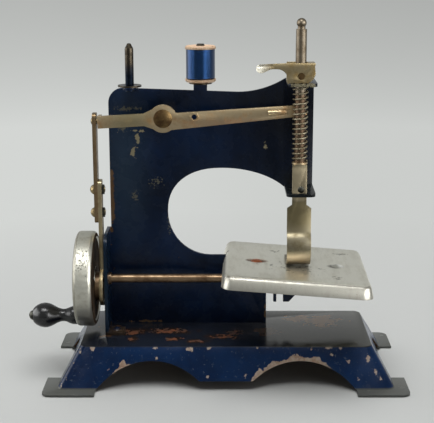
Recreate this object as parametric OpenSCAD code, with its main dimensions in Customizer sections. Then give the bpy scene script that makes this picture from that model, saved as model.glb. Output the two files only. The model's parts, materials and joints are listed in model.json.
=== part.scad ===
// Toy sewing machine of pressed sheet steel, turned by a hand crank, sewing a chain stitch.
// X runs along the machine from the handwheel to the needle, Y from front to back, Z upwards.
// Heights named _h are measured from the top of the base, all lengths are in millimetres.

/* [Base] */
// Width of the flat top of the base
base_top_w = 146; // [138:1:160]
// Depth of the flat top of the base
base_top_d = 56; // [52:1:70]
// Height of the base top over the table
base_h = 19.7; // [17:0.1:24]
// How far each skirt flares outwards
base_flare = 11.2; // [8:0.1:14]
// Thickness of the base's sheet
base_sheet = 1; // [0.8:0.1:1.4]
// Radius of the base's upright corners
base_corner_r = 4; // [2:0.5:6]
// Width of the foot lips
lip_w = 6.3; // [5:0.1:8]
// Length of each foot lip along the front
lip_front_l = 26; // [20:0.5:28]
// Length of each foot lip along the side
lip_side_l = 23; // [18:0.5:26]
// Corner radius of the foot lips
lip_corner_r = 4.5; // [2:0.5:6]
// Radius of the arches in the front and rear skirts
arch_r = 36; // [33:0.5:40]
// Distance of each arch from the middle
arch_x = 37; // [35:0.5:40]
// Height of the arches' crowns over the table
arch_top = 13.4; // [10:0.1:15]
// Height of the flat drop between the arches
drop_z = 4.6; // [3:0.1:7]
// Radius of the arches in the side skirts
side_arch_r = 24; // [22:0.5:30]
// Height of the side arches' crowns over the table
side_arch_top = 12.5; // [9:0.1:14]

/* [Body plate] */
// Thickness of the body's sheet
plate_t = 1.6; // [1.2:0.1:2]
// Distance of the plate's front face behind the middle of the base
plate_y = 8.4; // [6:0.1:11]
// Distance of the plate's left edge from the middle
plate_left = 59.7; // [57.5:0.1:62]
// Height of the plate's left end
plate_h = 124.8; // [122:0.1:126]
// Fall of the plate's top edge from its left end to the head
plate_fall = 2; // [0.5:0.1:3]
// Radius of the plate's top left corner
plate_corner_r = 7.5; // [4:0.5:10]
// Where the top edge starts to rise towards the head
rise_x = 6; // [2:0.5:10]
// Left edge of the head
head_x = 30; // [28:0.1:30.5]
// Width of the head
head_w = 14.4; // [14:0.1:17]
// Height of the head's top
head_h = 129.8; // [128.5:0.1:134]
// Height of the head's underside
head_low = 73.7; // [71:0.1:76]
// Depth of the head's two flanges in front of the plate
head_d = 25; // [23.5:0.1:30]
// Corner radius at the front of the head's flanges
head_corner_r = 3; // [1:0.5:4]
// Right end of the lower arm
arm_x = 21.2; // [20:0.1:22.5]
// Height of the lower arm
arm_h = 37.3; // [36.6:0.1:39]
// Height of the throat's crown
throat_top = 83.7; // [80:0.1:88]
// Place of the throat's crown
throat_x = -2; // [-6:0.5:2]
// Reach of the throat to the left of the middle
throat_left = 30.1; // [24:0.1:34]
// Half width of the throat to the right of its crown
throat_right = 39; // [37:0.5:42]
// Squareness of the throat's upper left corner, 2 is an ellipse
throat_square = 2.3; // [2:0.1:3]
// Where the throat's floor turns up, left of the middle
throat_floor = 8; // [4:0.5:10]
// How far the bearing flange stands out past the plate's left edge
bearing_out = 2.2; // [1.6:0.1:2.6]
// Depth of the bearing flange in front of the plate
bearing_d = 20; // [17:0.5:23]
// Height of the bearing flange
bearing_h = 52.3; // [44:0.1:56]
// Corner radius of the bearing flange
bearing_corner_r = 7; // [3:0.5:9]
// Width of each foot that is bent from the plate
foot_w = 8; // [7:0.5:12]
// Length of each foot that is bent from the plate
foot_l = 9; // [7:0.5:12]

/* [Spool pins] */
// Diameter of the two spool pins
pin_d = 4.3; // [3.5:0.1:5]
// Length of a spool pin over its tab
pin_l = 21.4; // [20:0.1:26]
// Length of the other pin past its spool's height
spool_pin_over = 1.9; // [1.5:0.1:3]
// Height of the pin's pointed tip
pin_tip = 2.6; // [1.5:0.1:4]
// Place of the spare pin, left of the middle
spare_x = 48; // [44:0.5:50]
// Distance of the spare pin in front of the plate
spare_gap = 7.4; // [6:0.1:9]
// Place of the pin with the spool, left of the middle
spool_x = 13; // [9:0.5:16]
// Distance of the spool's pin behind the plate's front face
spool_gap = 7.6; // [5:0.1:9.5]
// Width of the tabs that carry the pins
tab_w = 6.8; // [6:0.1:9]
// Height of the spare pin's tab over the plate's top edge
spare_tab_up = 1.6; // [1.2:0.1:3.2]
// Height of the spool pin's tab over the plate's top edge
spool_tab_up = 1.4; // [1:0.1:5]
// Diameter of the washers at the foot of the pins
washer_d = 11.8; // [9:0.1:13]
// Thickness of those washers
washer_t = 0.8; // [0.5:0.1:1.5]
// Diameter of the spool's flanges
spool_d = 15.7; // [14:0.1:18]
// Height of the spool
spool_l = 18.3; // [16:0.1:19]
// Thickness of the spool's flanges
spool_rim = 1.5; // [1.2:0.1:2.4]
// Diameter of the spool's barrel
spool_barrel_d = 9; // [8:0.1:11]
// Free play of the spool on its pin, at each side
spool_play = 0.3; // [0.2:0.05:0.5]
// Diameter over the wound thread
thread_pack_d = 14.8; // [12:0.1:15.2]
// Diameter of the thread as it is drawn
thread_d = 0.4; // [0.3:0.05:0.45]
// Turns of the outer layer of thread
thread_turns = 15; // [8:1:15]

/* [Shaft and wheel] */
// Diameter of the main shaft
shaft_d = 4.5; // [4:0.1:5]
// Height of the main shaft
shaft_h = 27.7; // [27:0.1:29]
// Distance of the shaft in front of the plate
shaft_gap = 10.2; // [9:0.1:12]
// Outer diameter of the bearing bushes
bush_d = 7; // [6.2:0.1:8]
// Radial running clearance of shafts, pins and bars
run_gap = 0.06; // [0.03:0.01:0.1]
// Radial clearance of fixed shanks in their holes
fix_gap = 0.05; // [0.02:0.01:0.1]
// Diameter of the handwheel
wheel_d = 49; // [44:0.5:51]
// Width of the handwheel
wheel_w = 9.7; // [8:0.1:12]
// Width of the handwheel's raised rim on its inner face
wheel_wall = 1.6; // [1.2:0.1:2.4]
// Radius of the handwheel's outer edge
wheel_edge_r = 2; // [1:0.1:3]
// Diameter of the handwheel's hub
hub_d = 12; // [10:0.5:16]
// Throw of the eccentric that drives the rod
throw = 4; // [3:0.05:4.2]
// Diameter of the eccentric
eccentric_d = 15; // [14.6:0.1:16]
// Radius at which the knob turns about the shaft
crank_r = 20; // [17:0.5:20]
// Length of the knob
knob_l = 22.8; // [20:0.1:28]
// Diameter of the knob's bulb
knob_bulb_d = 12.9; // [11:0.1:14]
// Diameter of the knob's neck
knob_neck_d = 6.4; // [5.4:0.1:7]
// Diameter of the knob's collar
knob_collar_d = 9.6; // [8:0.1:11]
// Diameter of the rivet that the knob turns on
knob_rivet_d = 3; // [2.5:0.1:3.6]
// Gap between the knob and the wheel
knob_gap = 0.8; // [0.4:0.1:1.2]

/* [Lever and rod] */
// Place of the lever's pivot, left of the middle
pivot_x = 31.3; // [29:0.1:33]
// Height of the lever's pivot
pivot_h = 111.3; // [110:0.1:112]
// Gap between the plate and the lever
lever_gap = 13.2; // [12.6:0.1:13.6]
// Thickness of the lever
lever_t = 1.6; // [1.2:0.1:1.9]
// Tilt of the lever at rest, with the needle up
lever_tilt = 3.3; // [2.6:0.1:4]
// Diameter of the lever's boss
boss_d = 14; // [12:0.1:16]
// Diameter of the lever's pivot
pivot_d = 5; // [4:0.1:6]
// Height of the lever's left arm
left_arm_w = 6.2; // [5.5:0.1:7]
// Height of the lever's right arm beside the boss
right_arm_w = 8.3; // [7:0.1:9.5]
// Height of the lever's right arm at its fork
fork_w = 5.9; // [5.6:0.1:6.6]
// Gap between the rod and the ear of the lever
ear_gap = 0.9; // [0.85:0.01:1]
// Thickness of the two rod strips
rod_t = 1.9; // [1.4:0.1:2]
// Width of the rod strips
rod_w = 7; // [6:0.1:8]
// Gap between the rod and the bearing flange
rod_gap = 0.9; // [0.85:0.05:1.4]
// Reach of the upper strip over the lever's end
rod_over = 4.2; // [3.5:0.1:6]
// Length of the upper strip
upper_rod_l = 56; // [48:0.5:57]
// Overlap of the two strips
rod_lap = 22; // [18:0.5:26]
// Diameter of the screws that join the strips
rod_screw_d = 2.7; // [2:0.1:3.2]
// Distance between the two screws
rod_screw_pitch = 11.9; // [10:0.1:13]

/* [Needle and presser] */
// Distance of the needle and the presser bar from the head's left edge
bar_in = 6.4; // [6.2:0.1:7.2]
// Distance of the needle bar in front of the plate
needle_gap = 9.9; // [9.4:0.1:10.4]
// Diameter of the needle bar
needle_bar_d = 4.2; // [3.6:0.1:4.6]
// Length of the needle bar below the head
needle_bar_low = 7.5; // [6:0.5:10]
// Spare length of the needle bar over the head, past its stroke
needle_bar_over = 2; // [1:0.5:4]
// Diameter of the needle
needle_d = 1; // [0.8:0.1:1.4]
// Height of the needle's point over the cloth plate at rest
needle_lift = 3.2; // [2:0.1:6]
// Distance of the presser bar in front of the plate
presser_gap = 19.6; // [19.3:0.1:20.4]
// Diameter of the presser bar
presser_d = 5.3; // [4.6:0.1:5.4]
// Height of the presser bar's ball top
presser_top_h = 160.9; // [158:0.1:166]
// Diameter of the presser bar's ball top
ball_d = 4.8; // [4:0.1:5.4]
// Outer diameter of the presser spring
spring_d = 7.7; // [7.6:0.1:8.8]
// Wire of the presser spring
spring_wire = 0.85; // [0.7:0.05:0.9]
// Turns of the presser spring
spring_turns = 15; // [10:1:17]
// Height of the spring's lower seat over the head's lower flange
spring_seat_up = 14.4; // [12:0.1:18]
// Width of the presser foot's shank
shank_w = 7.2; // [6:0.1:7.8]
// Thickness of the presser foot's sheet
foot_t = 1.3; // [1:0.1:1.5]
// Width of the presser foot's sole
sole_w = 12; // [10:0.1:13]
// Height of the presser foot's bend
foot_bend_h = 55.7; // [54:0.1:57]
// Angle at which the presser foot's curl starts
curl_from = 130; // [120:1:150]
// Reach of the presser foot's sole behind the needle
sole_back = 6.6; // [5:0.1:7]
// Gap between the presser foot and the cloth plate
foot_gap = 0.5; // [0.45:0.05:1]
// Height of the lifter's pin over the head
lifter_pin_up = 3.5; // [3:0.1:4.5]
// Diameter of the lifter's pin
lifter_pin_d = 3; // [2.4:0.1:3.4]
// Turn of the lifter from rest to raised
lifter_turn = 80; // [60:1:85]
// Lift of the presser foot
presser_lift = 3.2; // [2.4:0.1:3.6]
// Length of the lifter's finger from its pin
finger_l = 21.8; // [18:0.1:25]
// Half width of the lifter's block
lifter_half_w = 6.8; // [6:0.1:7.4]
// Height of the lifter's block over its pin
lifter_up = 6.3; // [5.5:0.1:7]

/* [Cloth plate] */
// Length of the cloth plate along the machine
cloth_l = 71.4; // [66:0.1:76]
// Depth of the cloth plate
cloth_d = 68.9; // [60:0.1:72]
// Left edge of the cloth plate's flat top
cloth_x = 0.2; // [-1:0.1:2.5]
// Height of the cloth plate over the lower arm at its left edge
cloth_rise = 1.9; // [1.3:0.1:2.2]
// Turn of the cloth plate about its rivet
cloth_turn = 1.2; // [0:0.1:3]
// How far the cloth plate's lip flares outwards
cloth_flare = 1.6; // [1:0.1:3]
// Radius of the cloth plate's pressed edge
cloth_edge_r = 2; // [1:0.1:2.2]
// How far the cloth plate reaches in front of the middle
cloth_front = 37; // [33:0.5:42]
// Thickness of the cloth plate
cloth_t = 1; // [0.8:0.1:1.2]
// Depth of the cloth plate's turned-down lip
cloth_lip = 6.5; // [5:0.1:7.5]
// Corner radius of the cloth plate
cloth_corner_r = 4; // [2:0.5:8]
// Droop of the cloth plate towards its free end
cloth_droop = 4.1; // [3.5:0.05:5]
// Place of the rivet that holds the cloth plate
rivet_x = 15.7; // [13:0.1:17]
// Distance of that rivet in front of the middle
rivet_front = 5.3; // [4:0.1:7]
// Place of the stud that the feed lever turns on
stud_x = 57.1; // [54:0.1:59]
// Distance of that stud in front of the middle
stud_front = 5.5; // [4:0.1:7]
// Thickness of the feed lever
feed_t = 1.2; // [1:0.1:1.4]
// Height of the feed teeth over the cloth plate
feed_tooth = 0.3; // [0.2:0.05:0.35]
// Radius of the looper
looper_r = 4.8; // [4:0.1:5]
// Radius of the feed cam
cam_r = 5.6; // [4:0.1:6]

/* [Hidden] */

$fn = 64;
hull_fn = 32;
eps = 0.01;
cut = 1;

// Heights over the table
z_plate = base_h + plate_h;
spare_tab_h = plate_h + spare_tab_up;
spool_tab_h = plate_h + spool_tab_up;
z_head = base_h + head_h;
z_head_low = base_h + head_low;
z_arm = base_h + arm_h;
z_shaft = base_h + shaft_h;
z_pivot = base_h + pivot_h;
z_spring_low = z_head_low + plate_t + spring_seat_up;
z_presser_top = base_h + presser_top_h;

// Base
base_half_w = base_top_w / 2 + base_flare + lip_w;
base_half_d = base_top_d / 2 + base_flare + lip_w;

// Places of the axes
y_shaft = plate_y - shaft_gap;
y_needle = plate_y - needle_gap;
y_presser = plate_y - presser_gap;
y_lever = plate_y - lever_gap - lever_t;
x_bar = head_x + bar_in;
y_spare = plate_y - spare_gap;
y_spool = plate_y + spool_gap;

// Planes across the shaft, from the bearing flange outwards
x_flange = -plate_left - bearing_out;
x_rod = x_flange - rod_gap;
x_upper_rod = x_rod - rod_t;
wheel_gap = 2;
x_wheel = x_upper_rod - wheel_gap;
x_wheel_out = x_wheel - wheel_w;
x_knob = x_wheel_out - knob_gap;
knob_head_h = 2.4;
knob_play = 0.1;
x_knob_tip = x_knob - knob_l - knob_head_h - knob_play;
eccentric_gap = 0.3;
eccentric_in = 0.4;

// Lever: its rod end, its swing over one turn of the shaft and the needle's stroke
ear_t = lever_t;
lever_left = (-pivot_x - x_upper_rod - ear_gap - ear_t / 2) / cos(lever_tilt);
x_ear = -pivot_x - lever_left * cos(lever_tilt);
z_ear = z_pivot - lever_left * sin(lever_tilt);
lever_right = pivot_x + x_bar;
swing_low = asin(2 * throw / lever_left - sin(lever_tilt));
needle_stroke = lever_right * (tan(lever_tilt) + tan(swing_low));
fork_play = 0.25;
stud_d = 2.4;

// Cloth plate: heights under its tilt
z_cloth = z_arm + cloth_rise;
function cloth_z(x) = z_cloth - (x - cloth_x) * tan(cloth_droop);
function cloth_under(x) = cloth_z(x) - cloth_t / cos(cloth_droop);
cloth_seat = 0.1;
bracket_t = 1.6;
bracket_w = 21.2;
bracket_x = 5.2;
ear_x = bracket_x + bracket_w - bracket_t;
rivet_d = 2.6;
looper_gap = 0.6;

// Presser lifter: the cam's rise for each radian of turn, its cheeks and the foot's height
cam_rise = presser_lift / (lifter_turn * PI / 180);
cheek_t = 1.2;
cheek_gap = 0.45;
z_lifter = z_head + lifter_pin_up;
z_sole = cloth_z(x_bar - sole_w / 2) + foot_gap - 0.3;
shank_flat = 0.75;
y_shank = y_presser - presser_d / 2 + shank_flat;
spring_washer_t = 0.9;

// The whole part is centred over its own box
mid_shift = -(base_half_w + x_knob_tip) / 2;

navy = "#1d2c4e";
nickel = "#a8a390";
brown = "#7d5438";
black = "#1b1c1d";
brass = "#8d7240";

// Helpers for shapes that repeat

module place() translate([mid_shift, 0, 0]) children();

// A round bar along X, Y or Z
module bar_x(x0, x1, y, z, d) translate([x0, y, z]) rotate([0, 90, 0]) cylinder(h = x1 - x0, d = d);
module bar_y(x, y0, y1, z, d) translate([x, y0, z]) rotate([-90, 0, 0]) cylinder(h = y1 - y0, d = d);
module bar_z(x, y, z0, z1, d) translate([x, y, z0]) cylinder(h = z1 - z0, d = d);

// A sheet with an outline in X and Z, from y0 to y0 + t
module sheet_xz(y0, t) translate([0, y0 + t, 0]) rotate([90, 0, 0]) linear_extrude(t) children();
// A sheet with an outline in Y and Z, from x0 to x0 + t
module sheet_yz(x0, t) translate([x0, 0, 0]) rotate([90, 0, 90]) linear_extrude(t) children();
// A box given by its two corners
module span(a, b) translate(a) cube(b - a);
// A piece turned about a line along X, from a profile of radius and place
module turned_x(y, z) translate([0, y, z]) rotate([0, 90, 0]) rotate_extrude() children();

// A round head whose top is a cap of a sphere, standing on z = 0
module dome(d, h) {
  r = (d * d / 4 + h * h) / (2 * h);
  intersection() {
    translate([0, 0, h - r]) sphere(r);
    cylinder(d = d, h = h);
  }
}

// A rivet down the -Z axis: domed head over z = 0, a shank of the grip's length, a flat head below
module rivet(d, grip, head_d, head_h, tail_d, tail_h) {
  dome(head_d, head_h);
  translate([0, 0, -grip - eps]) cylinder(d = d, h = grip + 2 * eps);
  translate([0, 0, -grip - tail_h]) cylinder(d = tail_d, h = tail_h);
}

// A rectangle with round corners, between two corners
module round_rect(a, b, r) {
  translate([a.x + r, a.y]) square([b.x - a.x - 2 * r, b.y - a.y]);
  translate([a.x, a.y + r]) square([b.x - a.x, b.y - a.y - 2 * r]);
  for (x = [a.x + r, b.x - r])
    for (y = [a.y + r, b.y - r])
      translate([x, y]) circle(r);
}

function arc(c, r, a0, a1, n) =
  [for (i = [0:n]) c + r * [cos(a0 + (a1 - a0) * i / n), sin(a0 + (a1 - a0) * i / n)]];

// A quarter of a squared ellipse about c, from angle a0 to a1
function bow(c, rx, rz, square, a0, a1, n) =
  [for (i = [0:n]) let (a = a0 + (a1 - a0) * i / n)
    c + [rx * sign(cos(a)) * pow(abs(cos(a)), 2 / square), rz * sign(sin(a)) * pow(abs(sin(a)), 2 / square)]];

// A strip of sheet bent along a path of points: its outline, with the sheet on the path's left
function unit(v) = v / norm(v);
function left_of(v) = [-v.y, v.x];
function path_way(p, i) = unit(p[min(i + 1, len(p) - 1)] - p[max(i - 1, 0)]);
function strip(p, t) = concat(p, [for (i = [len(p) - 1:-1:0]) p[i] + t * left_of(path_way(p, i))]);

// A tube swept along a path that winds about the Z axis: six sides and a ring at each point
tube_sides = 6;
function tube_way(p, i) = unit(p[min(i + 1, len(p) - 1)] - p[max(i - 1, 0)]);
function outwards(q) = unit([q.x, q.y, 0]);
function tube_ring(p, i, r) =
  let (u = outwards(p[i]), v = cross(tube_way(p, i), u))
    [for (k = [0:tube_sides - 1]) let (a = 360 * k / tube_sides) p[i] + r * (cos(a) * u + sin(a) * v)];
module tube(p, r) {
  n = len(p);
  s = tube_sides;
  points = [for (i = [0:n - 1]) each tube_ring(p, i, r)];
  sides = [for (i = [0:n - 2]) for (k = [0:s - 1])
    each [[i * s + k, i * s + (k + 1) % s, (i + 1) * s + k],
          [(i + 1) * s + k, i * s + (k + 1) % s, (i + 1) * s + (k + 1) % s]]];
  start = [for (k = [1:s - 2]) [0, k + 1, k]];
  end = [for (k = [1:s - 2]) [(n - 1) * s, (n - 1) * s + k, (n - 1) * s + k + 1]];
  polyhedron(points, concat(sides, start, end));
}
// A helix from z0 to z1 whose two ends run straight up and down for one wire diameter
function helix(r, z0, z1, turns, rings, wire) = concat(
  [[r, 0, z0]],
  [for (i = [0:turns * rings]) let (a = 360 * i / rings)
    [r * cos(a), r * sin(a), z0 + wire + (z1 - z0 - 2 * wire) * i / (turns * rings)]],
  [[r * cos(360 * turns), r * sin(360 * turns), z1]]);
// The least gap between one turn of a wound tube and the next
function least_gap(p, rings, wire) = min([for (i = [0:len(p) - 1])
  for (j = [i + floor(rings / 2):min(i + rings + 2, len(p) - 1)]) norm(p[i] - p[j])]) - wire;

// Base: a pressed tray, open below, with arched skirts and four foot lips

module base_block(inset, z_top) {
  hull_z = 0.02;
  hull() {
    translate([0, 0, z_top - hull_z]) linear_extrude(hull_z)
      round_rect([-base_top_w / 2 + inset, -base_top_d / 2 + inset],
                 [base_top_w / 2 - inset, base_top_d / 2 - inset], base_corner_r, $fn = hull_fn);
    linear_extrude(hull_z)
      round_rect([-base_top_w / 2 - base_flare + inset, -base_top_d / 2 - base_flare + inset],
                 [base_top_w / 2 + base_flare - inset, base_top_d / 2 + base_flare - inset],
                 base_corner_r, $fn = hull_fn);
  }
}

module base_arches() {
  for (side = [-1, 1])
    bar_y(side * arch_x, -base_half_d - cut, base_half_d + cut, arch_top - arch_r, 2 * arch_r);
  drop_half = arch_x - sqrt(pow(arch_r, 2) - pow(drop_z - arch_top + arch_r, 2)) + cut;
  span([-drop_half, -base_half_d - cut, -cut], [drop_half, base_half_d + cut, drop_z]);
  bar_x(-base_half_w - cut, base_half_w + cut, 0, side_arch_top - side_arch_r, 2 * side_arch_r);
}

module foot_lips() {
  intersection() {
    linear_extrude(base_sheet) difference() {
      round_rect([-base_half_w, -base_half_d], [base_half_w, base_half_d], lip_corner_r);
      square([base_top_w + 2 * base_flare - 4 * base_sheet, base_top_d + 2 * base_flare - 4 * base_sheet],
             center = true);
    }
    for (x = [-1, 1])
      for (y = [-1, 1])
        translate([x * (base_half_w - lip_front_l / 2), y * (base_half_d - lip_side_l / 2), 0])
          cube([lip_front_l, lip_side_l, 4 * base_sheet], center = true);
  }
}

module base() color(navy) place() {
  difference() {
    union() {
      difference() {
        base_block(0, base_h);
        translate([0, 0, -eps]) base_block(base_sheet * 1.2, base_h - base_sheet);
        base_arches();
      }
      foot_lips();
    }
    for (p = body_feet) bar_z(p.x, p.y, base_h - base_sheet - cut, base_h + cut, rivet_d + 2 * fix_gap);
  }
}

// Body plate: one sheet cut in the shape of a C, with its flanges, feet and tabs bent from it

// Middle of the rivet in each foot: one in front at the bearing flange, two behind the plate
body_feet = [
  [x_flange + plate_t + foot_w / 2, plate_y - bearing_d + foot_l / 2],
  [-throat_left, plate_y + plate_t + foot_l / 2],
  [arm_x - foot_w, plate_y + plate_t + foot_l / 2]
];

module plate_outline() {
  z_mid = (base_h + throat_top + z_arm) / 2;
  half = (base_h + throat_top - z_arm) / 2;
  top_right = z_plate - plate_fall;
  rise = z_head - top_right;
  rise_r = (pow(head_x - rise_x, 2) + pow(rise, 2)) / (2 * rise);
  rise_end = asin((head_x - rise_x) / rise_r);
  head_cut = asin((z_head_low - z_mid) / half);
  touch_x = cloth_x + (cloth_rise - cloth_t / cos(cloth_droop) - cloth_seat) / tan(cloth_droop);
  polygon(concat(
    [[-plate_left, base_h], [arm_x, base_h], [arm_x, cloth_under(arm_x) - cloth_seat], [touch_x, z_arm]],
    arc_floor(z_mid, half),
    bow([throat_x, z_mid], throat_left + throat_x, half, throat_square, 180, 90, 14),
    bow([throat_x, z_mid], throat_right, half, 2, 90, head_cut, 12),
    [[head_x + head_w, z_head_low], [head_x + head_w, z_head]],
    arc([rise_x, top_right + rise_r], rise_r, -90 + rise_end, -90, 10),
    arc([-plate_left + plate_corner_r, z_plate - plate_corner_r], plate_corner_r, 90, 180, 8)));
}
function arc_floor(z_mid, half) =
  bow([-throat_floor, z_mid], throat_left - throat_floor, half, 2, 270, 180, 12);

// A flange bent forward at the head, with two round front corners
module head_flange(z) {
  front = plate_y - head_d;
  translate([0, 0, z]) linear_extrude(plate_t) {
    round_rect([head_x, front], [head_x + head_w, plate_y], head_corner_r);
    translate([head_x, front + head_corner_r]) square([head_w, head_d - head_corner_r + plate_t]);
  }
}

module bearing_flange() {
  front = plate_y - bearing_d;
  top = base_h + bearing_h;
  sheet_yz(x_flange, plate_t) {
    round_rect([front, base_h], [plate_y, top], bearing_corner_r);
    translate([front, base_h]) square([bearing_d + plate_t, bearing_h / 2]);
    translate([front + bearing_corner_r, base_h]) square([bearing_d - bearing_corner_r + plate_t, bearing_h]);
  }
  span([x_flange, plate_y, base_h], [-plate_left + eps, plate_y + plate_t, top]);
}

// A tab that stands on the plate's top edge and is bent over, with a round end about its pin
module pin_tab(x, y, z) {
  edge = y < plate_y ? plate_y + plate_t : plate_y;
  span([x - tab_w / 2, plate_y, z_plate - plate_corner_r], [x + tab_w / 2, plate_y + plate_t, z]);
  span([x - tab_w / 2, min(y, edge), z - plate_t], [x + tab_w / 2, max(y, edge), z]);
  bar_z(x, y, z - plate_t, z, tab_w);
}

module plate_feet() {
  p = body_feet[0];
  span([x_flange, p.y - foot_l / 2, base_h], [p.x + foot_w / 2, p.y + foot_l / 2, base_h + plate_t]);
  for (i = [1, 2])
    span([body_feet[i].x - foot_w / 2, plate_y, base_h],
         [body_feet[i].x + foot_w / 2, plate_y + plate_t + foot_l, base_h + plate_t]);
}

tail_d = 2.8;
tail_h = 1;

module body_plate() color(navy) place() difference() {
  union() {
    sheet_xz(plate_y, plate_t) plate_outline();
    bearing_flange();
    head_flange(z_head - plate_t);
    head_flange(z_head_low);
    pin_tab(-spare_x, y_spare, base_h + spare_tab_h);
    pin_tab(-spool_x, y_spool, base_h + spool_tab_h);
    plate_feet();
  }
  bar_x(x_flange - cut, x_flange + plate_t + cut, y_shaft, z_shaft, bush_d + 2 * fix_gap);
  bar_y(-pivot_x, plate_y - cut, plate_y + plate_t + cut, z_pivot, pivot_d + 2 * fix_gap);
  bar_z(x_bar, y_needle, z_head - plate_t - cut, z_head + cut, needle_bar_d + 2 * run_gap);
  bar_z(x_bar, y_needle, z_head_low - cut, z_head_low + plate_t + cut, needle_bar_d + 2 * run_gap);
  bar_z(x_bar, y_presser, z_head - plate_t - cut, z_head + cut, presser_d + 2 * run_gap);
  bar_z(x_bar, y_presser, z_head_low - cut, z_head_low + plate_t + cut, presser_d + 2 * run_gap);
  shank_slot();
  bar_z(-spare_x, y_spare, z_plate, base_h + spare_tab_h + cut, tail_d + 2 * fix_gap);
  bar_z(-spool_x, y_spool, z_plate - cut, base_h + spool_tab_h + cut, tail_d + 2 * fix_gap);
  for (p = body_feet) bar_z(p.x, p.y, base_h - cut, base_h + plate_t + cut, rivet_d + 2 * fix_gap);
  for (p = bracket_holes) bar_y(p.x, plate_y - cut, plate_y + plate_t + cut, p.y, rivet_d + 2 * fix_gap);
}

// Room for the presser foot's shank beside its bar in the lower flange
module shank_slot() {
  slot_play = 0.15;
  span([x_bar - shank_w / 2 - slot_play, y_shank - foot_t - slot_play, z_head_low - cut],
       [x_bar + shank_w / 2 + slot_play, y_shank + slot_play, z_head_low + plate_t + cut]);
}

module body_rivets() color(navy) place()
  for (p = body_feet)
    translate([p.x, p.y, base_h + plate_t])
      rivet(rivet_d, plate_t + base_sheet + 2 * fix_gap, rivet_d * 1.9, rivet_d * 0.5, rivet_d * 1.7, rivet_d * 0.4);

// A plain bearing bush along X with a rim on its right
module bush_x(x0, x1, rim_d, rim_t) difference() {
  union() {
    bar_x(x0, x1 + rim_t, y_shaft, z_shaft, min(bush_d, rim_d));
    bar_x(x0, x1, y_shaft, z_shaft, bush_d);
    bar_x(x1 + fix_gap, x1 + rim_t, y_shaft, z_shaft, rim_d);
  }
  bar_x(x0 - cut, x1 + rim_t + cut, y_shaft, z_shaft, shaft_d + 2 * run_gap);
}

module left_bush() color(brass) place() bush_x(x_flange, x_flange + plate_t, shaft_d + 1.8, 1.2);

// Bracket under the cloth plate: it stands on the arm, carries the plate and holds the right bearing

bracket_low = 5.4;
bracket_front = 12;
shelf_over = 0.5;
bracket_holes = [
  [bracket_x + 3.6, z_shaft - bracket_low + 3],
  [arm_x - 3.4, z_shaft - bracket_low + 3]
];

module on_cloth() translate([cloth_x, 0, z_cloth]) rotate([0, cloth_droop, 0]) children();
function cloth_place(x) = (x - cloth_x) / cos(cloth_droop);

module bracket_shelf() {
  on_cloth()
    span([cloth_place(bracket_x) - shelf_over, -bracket_front, -cloth_t - bracket_t],
         [cloth_place(bracket_x + bracket_w) + shelf_over, plate_y, -cloth_t]);
}

module bracket_back() sheet_xz(plate_y - bracket_t, bracket_t) {
  x1 = bracket_x + bracket_w;
  polygon([[bracket_x, z_shaft - bracket_low], [x1, z_shaft - bracket_low],
           [x1, cloth_under(x1) - bracket_t / 2], [bracket_x, cloth_under(bracket_x) - bracket_t / 2]]);
}

module bracket_ear() {
  ear_r = bush_d / 2 + 2.6;
  sheet_yz(ear_x, bracket_t) {
    translate([y_shaft, z_shaft]) circle(ear_r);
    translate([y_shaft - ear_r, z_shaft])
      square([ear_r + plate_y - y_shaft, cloth_under(bracket_x + bracket_w) - bracket_t / 2 - z_shaft]);
    translate([y_shaft, z_shaft - bracket_low]) square([plate_y - y_shaft, 2 * bracket_low]);
    translate([guard_y, z_shaft - guard_low]) square([guard_w, guard_low]);
  }
  sheet_xz(guard_y, bracket_t) {
    top = z_shaft - cam_r - guard_gap;
    low = z_shaft - guard_low;
    x1 = ear_x + guard_l;
    polygon([[ear_x, top - bracket_t], [ear_x + guard_l * 0.44, top - bracket_t], [ear_x + guard_l * 0.44, low],
             [ear_x + guard_l * 0.7, low], [x1, low + bracket_t * 2.4], [x1, top], [ear_x, top]]);
  }
}
// Thread guard below the looper, bent from the ear
guard_low = 14.6;
guard_gap = 0.6;
guard_l = 11.6;
guard_w = 3;
guard_y = y_shaft + 5.6;

module bearing_bracket() color(navy) place() difference() {
  union() {
    bracket_shelf();
    bracket_back();
    bracket_ear();
  }
  bar_x(ear_x - cut, ear_x + bracket_t + cut, y_shaft, z_shaft, bush_d + 2 * fix_gap);
  for (p = bracket_holes)
    bar_y(p.x, plate_y - bracket_t - cut, plate_y + cut, p.y, rivet_d + 2 * fix_gap);
  cloth_rivet_hole();
}

module bracket_rivets() color(navy) place()
  for (p = bracket_holes)
    translate([p.x, plate_y + plate_t, p.y]) rotate([-90, 0, 0])
      rivet(rivet_d, plate_t + bracket_t, rivet_d * 1.77, rivet_d * 0.46, rivet_d * 1.6, rivet_d * 0.35);

module right_bush() color(brass) place() bush_x(ear_x, ear_x + bracket_t, shaft_d + 1.8, 0.4);

// Cloth plate: a shallow pan with a turned-down lip

module cloth_rivet_hole()
  on_cloth() bar_z(cloth_place(rivet_x), -rivet_front, -cloth_t - bracket_t - cut, cut, rivet_d + 2 * fix_gap);

feed_slot = [9.5, 10.4];
feed_pad = [7, 6];
feed_back = 5;
stud_shank_d = 3;

// One level of the pan: its outline grown outwards by out, at a height
module pan_level(out, z) translate([0, 0, z]) linear_extrude(eps)
  round_rect([-out, -cloth_front - out], [cloth_l + out, cloth_d - cloth_front + out],
             cloth_corner_r + out, $fn = hull_fn);

// The pan's outer or inner block: a flat top, a rounded edge and a lip that flares
module pan_block(inset, deep) hull() {
  e = cloth_edge_r;
  pan_level(-e - inset, -inset - eps);
  pan_level(-e * 0.42 - inset, -inset - e * 0.2);
  pan_level(e * 0.12 - inset, -inset - e * 0.75);
  pan_level(cloth_flare - inset, -cloth_lip - deep);
}

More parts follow.
